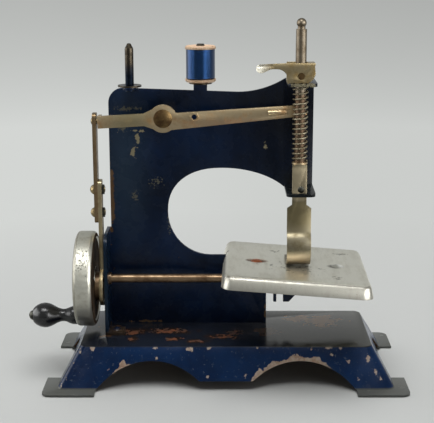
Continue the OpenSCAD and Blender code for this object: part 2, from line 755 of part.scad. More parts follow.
module cloth_turned() translate([cloth_place(rivet_x), -rivet_front, 0]) rotate([0, 0, -cloth_turn])
  translate([-cloth_place(rivet_x), rivet_front, 0]) children();

module cloth_plate() color("#b4b3ab") place() difference() {
  on_cloth() difference() {
    cloth_turned() difference() {
      pan_block(0, 0);
      pan_block(cloth_t, eps);
    }
    translate([cloth_place(x_bar) - feed_slot.x / 2, y_needle + feed_back - feed_slot.y / 2, -cloth_t - cut])
      cube([feed_slot.x, feed_slot.y, cloth_t + 2 * cut]);
    translate([cloth_place(rivet_x), -rivet_front, -0.35]) almond(5.6, 3.3);
    bar_z(cloth_place(stud_x), -stud_front, -cloth_t - cut, cut, stud_shank_d + 2 * fix_gap);
  }
  cloth_rivet_hole();
  bar_z(x_bar, y_needle, cloth_z(x_bar) - 2 * cloth_t, z_cloth, needle_hole_d);
  arm_notch();
}
needle_hole_d = 3;

// Room for the lower arm in the left lip
module arm_notch()
  span([cloth_x - cloth_flare - 2 * cut, plate_y - 0.2, z_cloth - 2 * cloth_lip],
       [cloth_x + cloth_edge_r + 2 * cut, plate_y + plate_t + 0.2, cloth_under(cloth_x + cloth_edge_r + 2 * cut) - 0.1]);

// A pointed oval recess of half length a and half width b
module almond(a, b) {
  r = (a * a + b * b) / (2 * b);
  intersection() {
    translate([0, r - b, 0]) cylinder(r = r, h = cut, $fn = 128);
    translate([0, b - r, 0]) cylinder(r = r, h = cut, $fn = 128);
  }
}

module cloth_rivet() color("#a5603c") place() on_cloth()
  translate([cloth_place(rivet_x), -rivet_front, -0.35])
    rivet(rivet_d, cloth_t + bracket_t - 0.35, 6.2, 1, 4.4, 0.9);

module feed_stud() color(nickel) place() on_cloth()
  translate([cloth_place(stud_x), -stud_front, 0])
    rivet(stud_shank_d, cloth_t + feed_t + 0.5, 6.4, 0.8, 5, 0.9);

// Spool pins, their washers and the spool

module spool_pin_at(x, y, z, l, tip) {
  bar_z(x, y, z + washer_t, z + l - tip, pin_d);
  translate([x, y, z + l - tip]) cylinder(h = tip, d1 = pin_d, d2 = pin_d - tip);
  bar_z(x, y, z - plate_t - eps, z + washer_t + eps, tail_d);
  bar_z(x, y, z - plate_t - tail_h, z - plate_t, pin_d);
}
module pin_washer_at(x, y, z) difference() {
  bar_z(x, y, z, z + washer_t, washer_d);
  bar_z(x, y, z - cut, z + washer_t + cut, tail_d + 2 * fix_gap);
}

module spare_pin() color(brown) place() spool_pin_at(-spare_x, y_spare, base_h + spare_tab_h, pin_l, pin_tip);
module spare_washer() color(brass) place() pin_washer_at(-spare_x, y_spare, base_h + spare_tab_h);
module spool_pin() color(brown) place()
  spool_pin_at(-spool_x, y_spool, base_h + spool_tab_h, spool_l + spool_pin_over, pin_tip / 3);
module spool_washer() color(brown) place() pin_washer_at(-spool_x, y_spool, base_h + spool_tab_h);

spool_gap_z = 0.1;
z_spool = base_h + spool_tab_h + washer_t + spool_gap_z;
core_gap = 0.05;

module spool() color("#c98f58") place() translate([-spool_x, y_spool, z_spool]) {
  bore_r = pin_d / 2 + spool_play;
  edge = 0.6;
  rotate_extrude() polygon([
    [bore_r, 0], [spool_d / 2 - edge, 0], [spool_d / 2, edge], [spool_d / 2, spool_rim],
    [spool_barrel_d / 2, spool_rim], [spool_barrel_d / 2, spool_l - spool_rim],
    [spool_d / 2, spool_l - spool_rim], [spool_d / 2, spool_l - edge], [spool_d / 2 - edge, spool_l],
    [bore_r, spool_l]]);
}

thread_core_d = thread_pack_d - 2 * thread_d - 2 * core_gap;

module thread_core() color("#1f3f86") place() translate([-spool_x, y_spool, z_spool + spool_rim + core_gap])
  difference() {
    cylinder(d = thread_core_d, h = spool_l - 2 * spool_rim - 2 * core_gap);
    translate([0, 0, -cut]) cylinder(d = spool_barrel_d + 2 * core_gap, h = spool_l);
  }

thread_rings = 24;
thread_path = helix(thread_pack_d / 2 - thread_d / 2, z_spool + spool_rim + core_gap,
                    z_spool + spool_l - spool_rim - core_gap, thread_turns, thread_rings, thread_d);
echo(str("least gap between turns of thread: ", least_gap(thread_path, thread_rings, thread_d), " mm"));
module thread_winding() color("#2449a0") place() translate([-spool_x, y_spool, 0]) tube(thread_path, thread_d / 2);

// Lever pivot: a screw through a spacer and the plate, with its nut behind

module lever_spacer() color(nickel) place() difference() {
  bar_y(-pivot_x, plate_y - lever_gap + 0.1, plate_y, z_pivot, pivot_d + 4);
  bar_y(-pivot_x, plate_y - lever_gap - cut, plate_y + cut, z_pivot, pivot_d + 2 * fix_gap);
}

nut_t = 3;
module pivot_screw() color(brown) place() {
  head_y = y_lever - 0.15;
  bar_y(-pivot_x, head_y - eps, plate_y + plate_t + nut_t + 0.6, z_pivot, pivot_d);
  translate([-pivot_x, head_y, z_pivot]) rotate([90, 0, 0]) dome(pivot_d * 1.86, pivot_d * 0.18);
}

module pivot_nut() color(nickel) place() difference() {
  bar_y(-pivot_x, plate_y + plate_t, plate_y + plate_t + nut_t, z_pivot, pivot_d * 1.9, $fn = 6);
  bar_y(-pivot_x, plate_y, plate_y + plate_t + nut_t + cut, z_pivot, pivot_d + 2 * fix_gap);
}

// Turning group: handwheel, shaft, eccentric, feed cam and looper

module handwheel() color("#bdbcb4") place() difference() {
  turned_x(y_shaft, z_shaft) union() {
    r = wheel_d / 2;
    e = wheel_edge_r;
    bore = shaft_d / 2 + fix_gap;
    polygon(concat(
      [[bore, x_wheel_out], [r - e, x_wheel_out]],
      arc([r - e, x_wheel_out + e], e, -90, 0, 6),
      arc([r - e, x_wheel - e], e, 0, 90, 6),
      [[r - e - wheel_wall / 2, x_wheel]],
      [[r - wheel_wall - e, x_wheel - wheel_dish], [hub_d / 2, x_wheel - wheel_dish]],
      [[hub_d / 2, x_eccentric], [bore, x_eccentric]]));
  }
  bar_x(x_wheel_out - cut, x_wheel_out + knob_anchor, y_shaft, z_shaft - crank_r, knob_rivet_d + 2 * fix_gap);
}
wheel_dish = 0.6;
knob_anchor = 6;

x_eccentric = x_wheel - eccentric_in;
looper_x = x_bar - needle_d / 2 - looper_gap;
looper_t = 1.8;
looper_hub_l = 3.6;
x_shaft_end = looper_x - looper_t;

module main_shaft() color(brown) place() {
  bar_x(x_wheel_out - 0.6, x_shaft_end, y_shaft, z_shaft, shaft_d);
}

module eccentric() color(brown) place() difference() {
  bar_x(x_eccentric, x_upper_rod - eccentric_gap, y_shaft, z_shaft - throw, eccentric_d);
  bar_x(x_eccentric - cut, x_upper_rod, y_shaft, z_shaft, shaft_d + 2 * fix_gap);
}

cam_gap = 0.5;
cam_w = 2.2;
x_cam = ear_x + bracket_t + 0.4 + cam_gap;
module feed_cam() color(black) place() difference() {
  bar_x(x_cam, x_cam + cam_w, y_shaft, z_shaft - cam_r * 0.18, cam_r * 1.64);
  bar_x(x_cam - cut, x_cam + cam_w + cut, y_shaft, z_shaft, shaft_d + 2 * fix_gap);
}

module looper() color(black) place() difference() {
  union() {
    bar_x(x_shaft_end - looper_hub_l, x_shaft_end + eps, y_shaft, z_shaft, shaft_d + 2.8);
    sheet_yz(x_shaft_end, looper_t) translate([y_shaft, z_shaft]) difference() {
      circle(looper_r);
      translate([looper_r * 0.45, looper_r * 0.55]) circle(looper_r * 0.62);
    }
  }
  bar_x(x_shaft_end - looper_hub_l - cut, x_shaft_end, y_shaft, z_shaft, shaft_d + 2 * fix_gap);
}

module knob_rivet() color(nickel) place() {
  y = y_shaft;
  z = z_shaft - crank_r;
  bar_x(x_knob - knob_l - knob_play - eps, x_wheel_out + knob_anchor - knob_play, y, z, knob_rivet_d);
  translate([x_knob - knob_l - knob_play, y, z]) rotate([0, -90, 0]) dome(knob_rivet_d * 1.8, knob_head_h);
}

// Radius of the knob's waist, from its collar at t = 0 over the neck to its bulb at t = 1
waist_at = 0.38;
function knob_waist(t) = t < waist_at
  ? (knob_neck_d + (knob_collar_d - knob_neck_d) * (1 + cos(180 * t / waist_at)) / 2) / 2
  : (knob_neck_d + (knob_bulb_d - knob_neck_d) * (1 - cos(180 * (t - waist_at) / (1 - waist_at))) / 2) / 2;

// Turned knob: collar, waisted neck and a bulb, with places along its length from the wheel side
module crank_knob() color(black) place() turned_x(y_shaft, z_shaft - crank_r) {
  bore = knob_rivet_d / 2 + run_gap;
  bulb_r = knob_bulb_d / 2;
  collar_l = 1.6;
  bulb_end = 55;
  bulb_l = bulb_r * 1.19;
  neck_n = 16;
  waist_l = knob_l - collar_l - bulb_l * sin(bulb_end);
  polygon(concat(
    [[bore, x_knob], [knob_collar_d / 2 - 0.4, x_knob], [knob_collar_d / 2, x_knob - 0.5]],
    [for (i = [0:neck_n]) [knob_waist(i / neck_n), x_knob - collar_l - waist_l * i / neck_n]],
    [for (i = [1:10]) let (a = bulb_end * i / 10)
      [bulb_r * cos(a), x_knob - collar_l - waist_l - bulb_l * sin(a)]],
    [[bore, x_knob - knob_l]]));
}

// Needle lever: boss, left arm with its ear, right arm with a fork, a thread eye and a rib

module lever_shape() {
  arm_end = lever_right / cos(lever_tilt) + 3.4;
  circle(d = boss_d);
  translate([-lever_left - ear_t / 2, -left_arm_w / 2]) square([lever_left, left_arm_w]);
  flare_x = boss_d * 0.68;
  side = boss_d * 0.36;
  polygon([[-flare_x, -left_arm_w / 2], [-boss_d / 3, -side], [0, 0], [-boss_d / 3, side], [-flare_x, left_arm_w / 2]]);
  top_in = fork_w / 2 - 0.5;
  boss_x = boss_d / 4;
  polygon([[boss_x, top_in - right_arm_w], [arm_end - 8, -fork_w / 2], [arm_end, -fork_w / 2],
           [arm_end, fork_w / 2], [boss_x, top_in], [0, 0]]);
}

module needle_lever() color(nickel) place()
  translate([-pivot_x, 0, z_pivot]) rotate([0, -lever_tilt, 0]) difference() {
    ear_half = left_arm_w / 2 - 0.3;
    rib_l = 9;
    rib_d = 2.6;
    rib_x = lever_right - rib_l - spring_d / 2 - rib_d;
    eye_x = lever_right * 0.23;
    union() {
      sheet_xz(y_lever, lever_t) lever_shape();
      sheet_yz(-lever_left - ear_t / 2, ear_t)
        translate([y_lever, -ear_half]) square([y_shaft + rod_w / 2 - y_lever, 2 * ear_half]);
      translate([rib_x, y_lever - 0.2, 0]) rotate([0, 90, 0]) cylinder(d = rib_d, h = rib_l);
      bar_y(eye_x, y_lever - 0.5, y_lever + eps, 0, 4.6);
    }
    bar_y(0, y_lever - cut, y_lever + lever_t + cut, 0, pivot_d + 2 * run_gap);
    bar_y(eye_x, y_lever - 2 * cut, y_lever + lever_t + cut, 0, 2.6);
    span([lever_right - stud_d, y_lever - cut, -stud_d / 2 - fork_play],
         [lever_right + 10, y_lever + lever_t + cut, stud_d / 2 + fork_play]);
    bar_x(-lever_left - ear_t, -lever_left + ear_t, y_shaft, 0, rod_rivet_d + 2 * ear_play);
  }

// Rod: two strips joined by two screws, hung on the lever's ear, with a ring about the eccentric

rod_rivet_d = 2.6;
ear_play = 0.4;
rod_top = z_ear + rod_over;
lap_top = rod_top - upper_rod_l + rod_lap;
rod_screw_z = [for (i = [-1, 1]) lap_top - rod_lap / 2 + i * rod_screw_pitch / 2];
strap_wall = 2.6;
strap_gap = 0.1;

module upper_rod() color(nickel) place() difference() {
  sheet_yz(x_upper_rod - rod_t, rod_t)
    round_rect([y_shaft - rod_w / 2, rod_top - upper_rod_l], [y_shaft + rod_w / 2, rod_top], rod_w * 0.3);
  rod_holes();
}

module lower_rod() color(nickel) place() difference() {
  z_ring = z_shaft - throw;
  ring_d = eccentric_d + 2 * strap_gap;
  sheet_yz(x_upper_rod, rod_t) difference() {
    union() {
      round_rect([y_shaft - rod_w / 2, z_ring], [y_shaft + rod_w / 2, lap_top], rod_w * 0.3);
      translate([y_shaft, z_ring]) circle(d = ring_d + 2 * strap_wall);
    }
    translate([y_shaft, z_ring]) circle(d = ring_d);
  }
  rod_holes();
}

module rod_holes() {
  for (z = rod_screw_z)
    bar_x(x_upper_rod - rod_t - cut, x_rod + cut, y_shaft, z, rod_screw_d + 2 * fix_gap);
  bar_x(x_upper_rod - rod_t - cut, x_rod + cut, y_shaft, z_ear, rod_rivet_d + 2 * fix_gap);
}

rod_nut_t = 1.2;
module rod_screws() color(nickel) place()
  for (z = rod_screw_z) {
    bar_x(x_upper_rod - rod_t - eps, x_rod + rod_nut_t + 0.3, y_shaft, z, rod_screw_d);
    translate([x_upper_rod - rod_t, y_shaft, z]) rotate([0, -90, 0]) dome(rod_screw_d + 2.6, rod_screw_d * 0.85);
  }

module rod_nuts() color(nickel) place()
  for (z = rod_screw_z) difference() {
    bar_x(x_rod, x_rod + rod_nut_t, y_shaft, z, rod_screw_d + 2.4, $fn = 6);
    bar_x(x_rod - cut, x_rod + rod_nut_t + cut, y_shaft, z, rod_screw_d + 2 * fix_gap);
  }

module rod_rivet() color(nickel) place() {
  x0 = x_upper_rod - rod_t;
  x1 = x_ear + ear_t / 2 + ear_gap;
  bar_x(x0 - eps, x1 + eps, y_shaft, z_ear, rod_rivet_d);
  translate([x0, y_shaft, z_ear]) rotate([0, -90, 0]) dome(rod_rivet_d + 1.8, 1);
  translate([x1, y_shaft, z_ear]) rotate([0, 90, 0]) dome(rod_rivet_d + 1.8, 1);
}

// Needle bar with its stud, its clamp screw and the needle

z_stud = z_pivot + lever_right * tan(lever_tilt);
z_needle_low = z_head_low - needle_bar_low;
needle_in = 6;
needle_screw_z = z_needle_low + 3;
needle_screw_d = 2;

module needle_bar() color(nickel) place() difference() {
  bar_z(x_bar, y_needle, z_needle_low, z_head + needle_stroke + needle_bar_over, needle_bar_d);
  bar_z(x_bar, y_needle, z_needle_low - cut, z_needle_low + needle_in, needle_d + 2 * fix_gap);
  bar_y(x_bar, y_needle, y_needle + needle_bar_d, needle_screw_z, needle_screw_d + 2 * fix_gap);
  bar_y(x_bar, y_needle - needle_bar_d, y_needle, z_stud, stud_d + 2 * fix_gap);
}

module drive_stud() color(nickel) place()
  bar_y(x_bar, y_lever - 0.2, y_needle - 0.2, z_stud, stud_d);

module needle() color("#c4c4c0") place() {
  point_l = 5;
  z0 = cloth_z(x_bar) + needle_lift;
  bar_z(x_bar, y_needle, z0 + point_l - eps, z_needle_low + needle_in - 0.2, needle_d);
  translate([x_bar, y_needle, z0]) cylinder(h = point_l, d1 = 0.1, d2 = needle_d);
}

module needle_screw() color(nickel) place() {
  y0 = y_needle + needle_d / 2 + 0.1;
  y1 = y_needle + needle_bar_d / 2 + 0.1;
  bar_y(x_bar, y0, y1 + eps, needle_screw_z, needle_screw_d);
  translate([x_bar, y1, needle_screw_z]) rotate([-90, 0, 0]) dome(needle_screw_d + 1.6, 1.3);
}

// Presser: bar with a ball top, bent foot, spring and its washer, and the lifter's pin

z_presser_low = z_head_low - presser_lift - 0.6;
foot_screw_d = 2.4;
foot_screw_x = x_bar + foot_screw_d / 3;
foot_screw_z = z_head_low + plate_t + presser_lift - 1.4;

module presser_bar() color(nickel) place() difference() {
  neck_l = 1.3;
  z_neck = z_presser_top - ball_d - neck_l + 0.8;
  union() {
    bar_z(x_bar, y_presser, z_presser_low, z_neck, presser_d);
    bar_z(x_bar, y_presser, z_neck - eps, z_neck + neck_l, ball_d * 0.78);
    translate([x_bar, y_presser, z_presser_top - ball_d / 2]) sphere(d = ball_d);
  }
  span([x_bar - presser_d, y_presser - presser_d, z_presser_low - cut],
       [x_bar + presser_d, y_shank, z_spring_low]);
  bar_y(foot_screw_x, y_shank - cut, y_presser + presser_d, foot_screw_z, foot_screw_d + 2 * fix_gap);
  bar_y(x_bar, y_presser - presser_d, y_presser + presser_d, z_lifter, lifter_pin_d + 2 * fix_gap);
}

// The foot's side view, from the top of its shank down to the end of its sole
foot_curl_r = (base_h + foot_bend_h - z_sole) / (1 + sin(curl_from));
module foot_side() {
  y_out = y_shank;
  c = [y_shank - foot_t + foot_curl_r * cos(180 - curl_from), z_sole + foot_curl_r];
  path = concat(
    [[y_out - foot_t, z_spring_low]],
    arc(c, foot_curl_r, curl_from, 270, 14),
    [[y_needle + sole_back, z_sole]]);
  polygon(strip(path, foot_t));
}

// The foot's front view: a narrow shank that widens into the sole
neck_gap = 1.2;
shoulder_h = 1.7;
module foot_front() {
  z_neck = z_head_low - presser_lift - neck_gap;
  z_wide = z_neck - shoulder_h;
  translate([x_bar - shank_w / 2, z_wide]) square([shank_w, z_spring_low - z_wide + cut]);
  polygon([[x_bar - sole_w / 2, z_sole - 5], [x_bar + sole_w / 2, z_sole - 5],
           [x_bar + sole_w / 2, z_wide], [x_bar + shank_w / 2, z_neck],
           [x_bar - shank_w / 2, z_neck], [x_bar - sole_w / 2, z_wide]]);
}

module presser_foot() color(nickel) place() difference() {
  intersection() {
    sheet_yz(x_bar - sole_w, 2 * sole_w) foot_side();
    sheet_xz(y_presser - 2 * foot_curl_r, 2 * foot_curl_r + 2 * presser_gap) foot_front();
  }
  span([x_bar - 2, y_needle - 3, z_sole - cut], [x_bar + 2, y_needle + 12, z_sole + 2 * foot_t]);
  bar_y(foot_screw_x, y_shank - foot_t - cut, y_shank + cut, foot_screw_z, foot_screw_d + 2 * fix_gap);
}

module foot_screw() color(black) place() {
  head_y = y_shank - foot_t;
  bar_y(foot_screw_x, head_y - eps, y_presser + presser_d / 2 - 0.5, foot_screw_z, foot_screw_d);
  translate([foot_screw_x, head_y, foot_screw_z]) rotate([90, 0, 0]) dome(foot_screw_d + 1, 0.6);
}

module spring_washer() color(nickel) place() difference() {
  bar_z(x_bar, y_presser, z_spring_low, z_spring_low + spring_washer_t, spring_d);
  bar_z(x_bar, y_presser, z_spring_low - cut, z_spring_low + spring_washer_t + cut, presser_d + 2 * fix_gap);
}

spring_rings = 8;
spring_seat = 0.05;
spring_path = helix(spring_d / 2 - spring_wire / 2, z_spring_low + spring_washer_t + spring_seat,
                    z_head - plate_t - spring_seat, spring_turns, spring_rings, spring_wire);
echo(str("least gap between curls of the spring: ", least_gap(spring_path, spring_rings, spring_wire), " mm"));
module presser_spring() color("#6f6350") place() translate([x_bar, y_presser, 0]) tube(spring_path, spring_wire / 2);

module lifter_pin() color(brown) place() {
  half = presser_d / 2 + cheek_gap + cheek_t + 0.5;
  bar_y(x_bar, y_presser - half, y_presser + half, z_lifter, lifter_pin_d);
}

// Lifter: two cheeks about the bar, one with a finger. Below the pin each cheek is a cam whose reach
// grows evenly with its turn, so the foot rises evenly: it is the involute of a circle of cam_rise.

function cam_point(a) = let (h = lifter_pin_up - cam_seat + cam_rise * a * PI / 180)
  h * [sin(a), -cos(a)] + cam_rise * [cos(a), sin(a)];
cam_seat = 0.1;

module lifter_cheek() {
  low = lifter_pin_up - cam_seat;
  polygon(concat(
    [[-lifter_half_w, -low]],
    [for (a = [0:8:lifter_turn]) cam_point(a)],
    [cam_point(lifter_turn), [lifter_half_w - 0.4, lifter_up], [-lifter_half_w, lifter_up]]));
}

// Finger: a round tip, a slimmer neck and a hollow curve down into the block
finger_tip_r = 2.1;
finger_neck = 2.6;
module lifter_finger() {
  r = finger_tip_r;
  tip = [-finger_l + r, lifter_up - r - 0.6];
  neck_z = lifter_up - 0.3 - finger_neck;
  neck_x = -lifter_half_w - 5;
  translate(tip) circle(r);
  polygon(concat(
    [[-lifter_half_w + eps, lifter_up], tip + [0, r]],
    [for (i = [0:8]) let (t = i / 8)
      [tip.x + (neck_x - 2 - tip.x) * t, tip.y - r + (neck_z - tip.y + r) * (1 - cos(180 * t)) / 2]],
    [for (i = [0:8]) let (a = 90 * i / 8)
      [neck_x + (-lifter_half_w - neck_x) * sin(a), neck_z - 4.4 * (1 - cos(a))]],
    [[-lifter_half_w + eps, neck_z - 4.4]]));
}

module presser_lifter() color(nickel) place() translate([x_bar, 0, z_lifter]) difference() {
  front = y_presser - presser_d / 2 - cheek_gap - cheek_t;
  back = y_presser + presser_d / 2 + cheek_gap;
  union() {
    sheet_xz(front, cheek_t) {
      lifter_cheek();
      lifter_finger();
    }
    sheet_xz(back, cheek_t) lifter_cheek();
    span([presser_d / 2 + 0.6, front, lifter_up - cheek_t], [lifter_half_w, back + cheek_t, lifter_up]);
  }
  bar_y(0, front - cut, back + cheek_t + cut, 0, lifter_pin_d + 2 * run_gap);
}

// Feed lever: a strip under the cloth plate that swings on its stud, with teeth in the plate's slot

module feed_lever() color(black) place() on_cloth() {
  xs = cloth_place(stud_x);
  xn = cloth_place(x_bar);
  yf = y_needle + feed_back;
  under = -cloth_t - 0.25;
  translate([0, 0, under - feed_t]) linear_extrude(feed_t) difference() {
    union() {
      translate([xs, -stud_front]) circle(d = stud_shank_d + 5);
      polygon([[xs - 3, -stud_front + 1.5], [xs + 3, -stud_front + 1.5],
               [xn + 8, yf + feed_pad.y / 2], [xn + 3, yf - feed_pad.y / 2 + 1.5]]);
      translate([xn - feed_pad.x / 2, yf - feed_pad.y / 2]) square([feed_pad.x + 6, feed_pad.y]);
    }
    translate([xs, -stud_front]) circle(d = stud_shank_d + 2 * run_gap);
  }
  for (i = [0:3])
    translate([xn - feed_pad.x / 2 + 0.6, yf - feed_pad.y / 2 + 0.5 + i * 1.35, under - eps])
      cube([feed_pad.x - 1.2, 0.8, -under + feed_tooth]);
}

base();
body_plate();
body_rivets();
left_bush();
bearing_bracket();
bracket_rivets();
right_bush();
cloth_plate();
cloth_rivet();
feed_stud();
spare_pin();
spare_washer();
spool_pin();
spool_washer();
lever_spacer();
pivot_screw();
pivot_nut();
handwheel();
main_shaft();
eccentric();
feed_cam();
looper();
knob_rivet();
crank_knob();
needle_lever();
upper_rod();
lower_rod();
rod_screws();
rod_nuts();
rod_rivet();
needle_bar();
drive_stud();
needle();
needle_screw();
presser_bar();
presser_foot();
foot_screw();
spring_washer();
presser_spring();
lifter_pin();
presser_lifter();
spool();
thread_core();
thread_winding();
feed_lever();
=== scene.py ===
# %% [markdown]
# # A toy sewing machine
#
# This machine is pressed from sheet steel, enamelled dark blue and worn by years of play. The solids come from a CAD
# model and set every size. In Blender each piece gets the rounded edges, the windings and the finishes that the real
# one shows.

# %% Load the CAD frame
import json
import math

import bpy
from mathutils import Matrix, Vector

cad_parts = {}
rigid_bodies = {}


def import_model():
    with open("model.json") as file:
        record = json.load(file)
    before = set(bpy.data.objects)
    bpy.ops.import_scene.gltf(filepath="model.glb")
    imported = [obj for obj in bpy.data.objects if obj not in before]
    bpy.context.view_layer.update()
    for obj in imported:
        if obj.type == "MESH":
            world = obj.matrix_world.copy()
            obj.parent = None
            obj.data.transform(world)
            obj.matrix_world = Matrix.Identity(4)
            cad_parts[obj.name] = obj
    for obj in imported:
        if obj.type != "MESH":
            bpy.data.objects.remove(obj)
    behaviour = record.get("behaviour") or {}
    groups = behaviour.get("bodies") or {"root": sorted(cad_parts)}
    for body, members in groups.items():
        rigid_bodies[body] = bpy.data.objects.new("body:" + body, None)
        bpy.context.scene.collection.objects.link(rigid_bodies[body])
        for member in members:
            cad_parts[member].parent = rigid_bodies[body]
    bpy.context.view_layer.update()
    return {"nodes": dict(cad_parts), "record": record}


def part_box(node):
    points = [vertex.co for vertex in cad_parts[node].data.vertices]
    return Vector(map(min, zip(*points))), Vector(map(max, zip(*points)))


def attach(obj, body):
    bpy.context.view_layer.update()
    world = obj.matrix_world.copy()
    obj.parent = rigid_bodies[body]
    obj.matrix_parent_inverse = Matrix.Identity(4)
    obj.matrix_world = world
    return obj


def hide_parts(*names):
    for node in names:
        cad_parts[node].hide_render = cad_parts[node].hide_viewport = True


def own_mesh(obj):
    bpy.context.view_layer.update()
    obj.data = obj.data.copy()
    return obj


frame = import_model()
nodes = frame["nodes"]
scene = bpy.context.scene
MM = 0.001
# The base isn't in the middle of the part, because the knob sticks out at the left.
BASE_X = 6.0 * MM
print("CAD nodes:", len(nodes))

# %% [markdown]
# ## Camera
#
# The base is a long box, so its edges tell where the camera stood: a little above the machine, looking down by about
# 13 degrees. A long lens could be guessed by eye, but the fit of the base's corners gives its length, and a small
# shift puts the machine right of the middle, as in the picture.

# %% Place the camera
FRAME_W = 434
FOCAL_PX = 1100
SHIFT_PX = -9
SENSOR = 36
LOOK_DOWN = math.radians(13.37)
lens = bpy.data.cameras.new("photo_camera")
lens.sensor_width = SENSOR
lens.lens = SENSOR * FOCAL_PX / FRAME_W
lens.shift_x = SHIFT_PX / FRAME_W
camera = bpy.data.objects.new("photo_camera", lens)
camera.location = (BASE_X, -546.8 * MM, 212.3 * MM)
camera.rotation_euler = (math.pi / 2 - LOOK_DOWN, 0, 0)
scene.collection.objects.link(camera)
scene.camera = camera
scene.view_settings.view_transform = "Standard"
print("lens", round(lens.lens, 1), "mm")

# %% [markdown]
# ## Colours and nodes
#
# Colours are written as sRGB hex values, as a colour picker shows them, and turned to linear light once. One function
# adds a shader node with its settings and all that goes into it: a number, a colour or another node's output. A
# finish then reads from top to bottom, like the coats on the real piece.

# %% Helpers for materials
def linear(code):
    parts = [int(code[i:i + 2], 16) / 255 for i in (1, 3, 5)]
    return [c / 12.92 if c <= 0.04045 else ((c + 0.055) / 1.055) ** 2.4 for c in parts] + [1]


def add(tree, kind, inputs=None, **settings):
    made = tree.nodes.new("ShaderNode" + kind)
    for name, value in settings.items():
        setattr(made, name, value)
    for name, value in (inputs or {}).items():
        if isinstance(value, bpy.types.NodeSocket):
            tree.links.new(value, made.inputs[name])
        else:
            made.inputs[name].default_value = linear(value) if isinstance(value, str) else value
    return made


def start(name, **surface):
    finish = bpy.data.materials.new(name)
    finish.use_nodes = True
    tree = finish.node_tree
    shader = tree.nodes["Principled BSDF"]
    for key, value in surface.items():
        shader.inputs[key.replace("_", " ")].default_value = value
    return finish, tree, shader, add(tree, "TexCoord").outputs["Object"]


print("middle grey in linear light:", round(linear("#808080")[0], 3))

# %% [markdown]
# ## Floor
#
# A studio table is one pale sheet that runs up behind the object. The camera looks down enough that the table fills
# the whole picture, so a flat floor is all it takes. It lies a hair below the feet, so that no two faces share a
# plane.

# %% Make the floor
bpy.ops.object.select_all(action="DESELECT")
bpy.ops.mesh.primitive_plane_add(size=8, location=(0, 1.5, -0.0002))
floor = bpy.context.object
floor.name = "floor"
# Matt grey paper: it holds the soft shadow and gives the eye a plain ground.
paper, tree, shader, coords = start("grey_backdrop_paper", Roughness=0.9)
shader.inputs["Base Color"].default_value = linear("#cfd1cf")
floor.data.materials.append(paper)
print("floor:", paper.name)

# %% [markdown]
# Near the machine only the lamps light the paper. Farther off it fades slowly, and is a little lighter at the left.
# More lamps could do that, but they would also light the machine. So the far paper glows by itself, and only to the
# eye and in mirrors, where it adds no light.

# %% Let the far floor glow
def seen_directly(tree, ray):
    seen = add(tree, "Math", {0: ray["Is Camera Ray"], 1: ray["Is Glossy Ray"]}, operation="MAXIMUM").outputs[0]
    return add(tree, "Math", {0: seen, 1: ray["Is Transmission Ray"]}, operation="MAXIMUM").outputs[0]


ray = add(tree, "LightPath").outputs
place = add(tree, "NewGeometry").outputs["Position"]
away = add(tree, "VectorMath", {0: place}, operation="LENGTH").outputs["Value"]
x, y = add(tree, "SeparateXYZ", {0: place}).outputs[:2]
far = add(tree, "MapRange", {"Value": away, "From Min": 0.13, "From Max": 0.36}).outputs[0]
far = add(tree, "Math", {0: far, 1: seen_directly(tree, ray)}, operation="MULTIPLY").outputs[0]
nearness = add(tree, "Math", {0: 0.5, 1: away}, operation="DIVIDE").outputs[0]
fade = add(tree, "MapRange", {"Value": nearness, "From Min": 0.1, "From Max": 0.6,
                              "To Min": 0.455, "To Max": 0.65}).outputs[0]
aside = add(tree, "Math", {0: x, 1: away}, operation="DIVIDE").outputs[0]
aside = add(tree, "MapRange", {"Value": aside, "From Min": -0.2, "From Max": 0.2,
                               "To Min": 1.04, "To Max": 0.95}).outputs[0]
fade = add(tree, "Math", {0: fade, 1: aside}, operation="MULTIPLY").outputs[0]
glow = add(tree, "Emission", {"Color": "#fbfefb", "Strength": fade}).outputs[0]
surface = add(tree, "MixShader", {0: far, 1: shader.outputs[0], 2: glow}).outputs[0]
print("the far floor glows beyond 0.13 m")

# %% [markdown]
# The upright paint mirrors the part of the room in front of the table, which was dark. So the floor there is darker
# to reflections only and stays pale to the eye.

# %% Darken the mirrored foreground
ahead = add(tree, "MapRange", {"Value": y, "From Min": -0.1, "From Max": -0.3}).outputs[0]
dark = add(tree, "Math", {0: ahead, 1: ray["Is Glossy Ray"]}, operation="MULTIPLY").outputs[0]
room = add(tree, "Emission", {"Color": "#7d7f81", "Strength": 1.0}).outputs[0]
surface = add(tree, "MixShader", {0: dark, 1: surface, 2: room}).outputs[0]
tree.links.new(surface, tree.nodes["Material Output"].inputs["Surface"])
print("floor nodes:", len(tree.nodes))

# %% [markdown]
# ## Light
#
# The room is pale to the eye but adds little light of its own, so that the shadow under the base stays deep.

# %% Set the world
world = bpy.data.worlds.new("studio")
scene.world = world
world.use_nodes = True
sky = world.node_tree
seen = seen_directly(sky, add(sky, "LightPath").outputs)
level = add(sky, "MapRange", {"Value": seen, "To Min": 0.06, "To Max": 0.55}).outputs[0]
background = sky.nodes["Background"]
background.inputs["Color"].default_value = linear("#eceeec")
sky.links.new(level, background.inputs["Strength"])
print("world:", world.name)

# %% [markdown]
# One broad box overhead lights the table and the machine. Two wide boxes at the sides and one high in front only show
# in the shine: the side ones make the two bright bands on the thread, and the front one the light on the wheel's rim.
# Kept apart like this, the shine can be placed without changing the shadow.

# %% Hang the lamps
from mathutils import Vector


def soft_box(name, place, size, watts):
    lamp = bpy.data.lights.new(name, "AREA")
    lamp.shape = "RECTANGLE"
    lamp.size, lamp.size_y = size
    lamp.energy = watts
    lamp_object = bpy.data.objects.new(name, lamp)
    scene.collection.objects.link(lamp_object)
    lamp_object.location = place
    way = lamp_object.location - Vector((0, 0, 0.09))
    lamp_object.rotation_euler = way.to_track_quat("Z", "Y").to_euler()
    return lamp_object


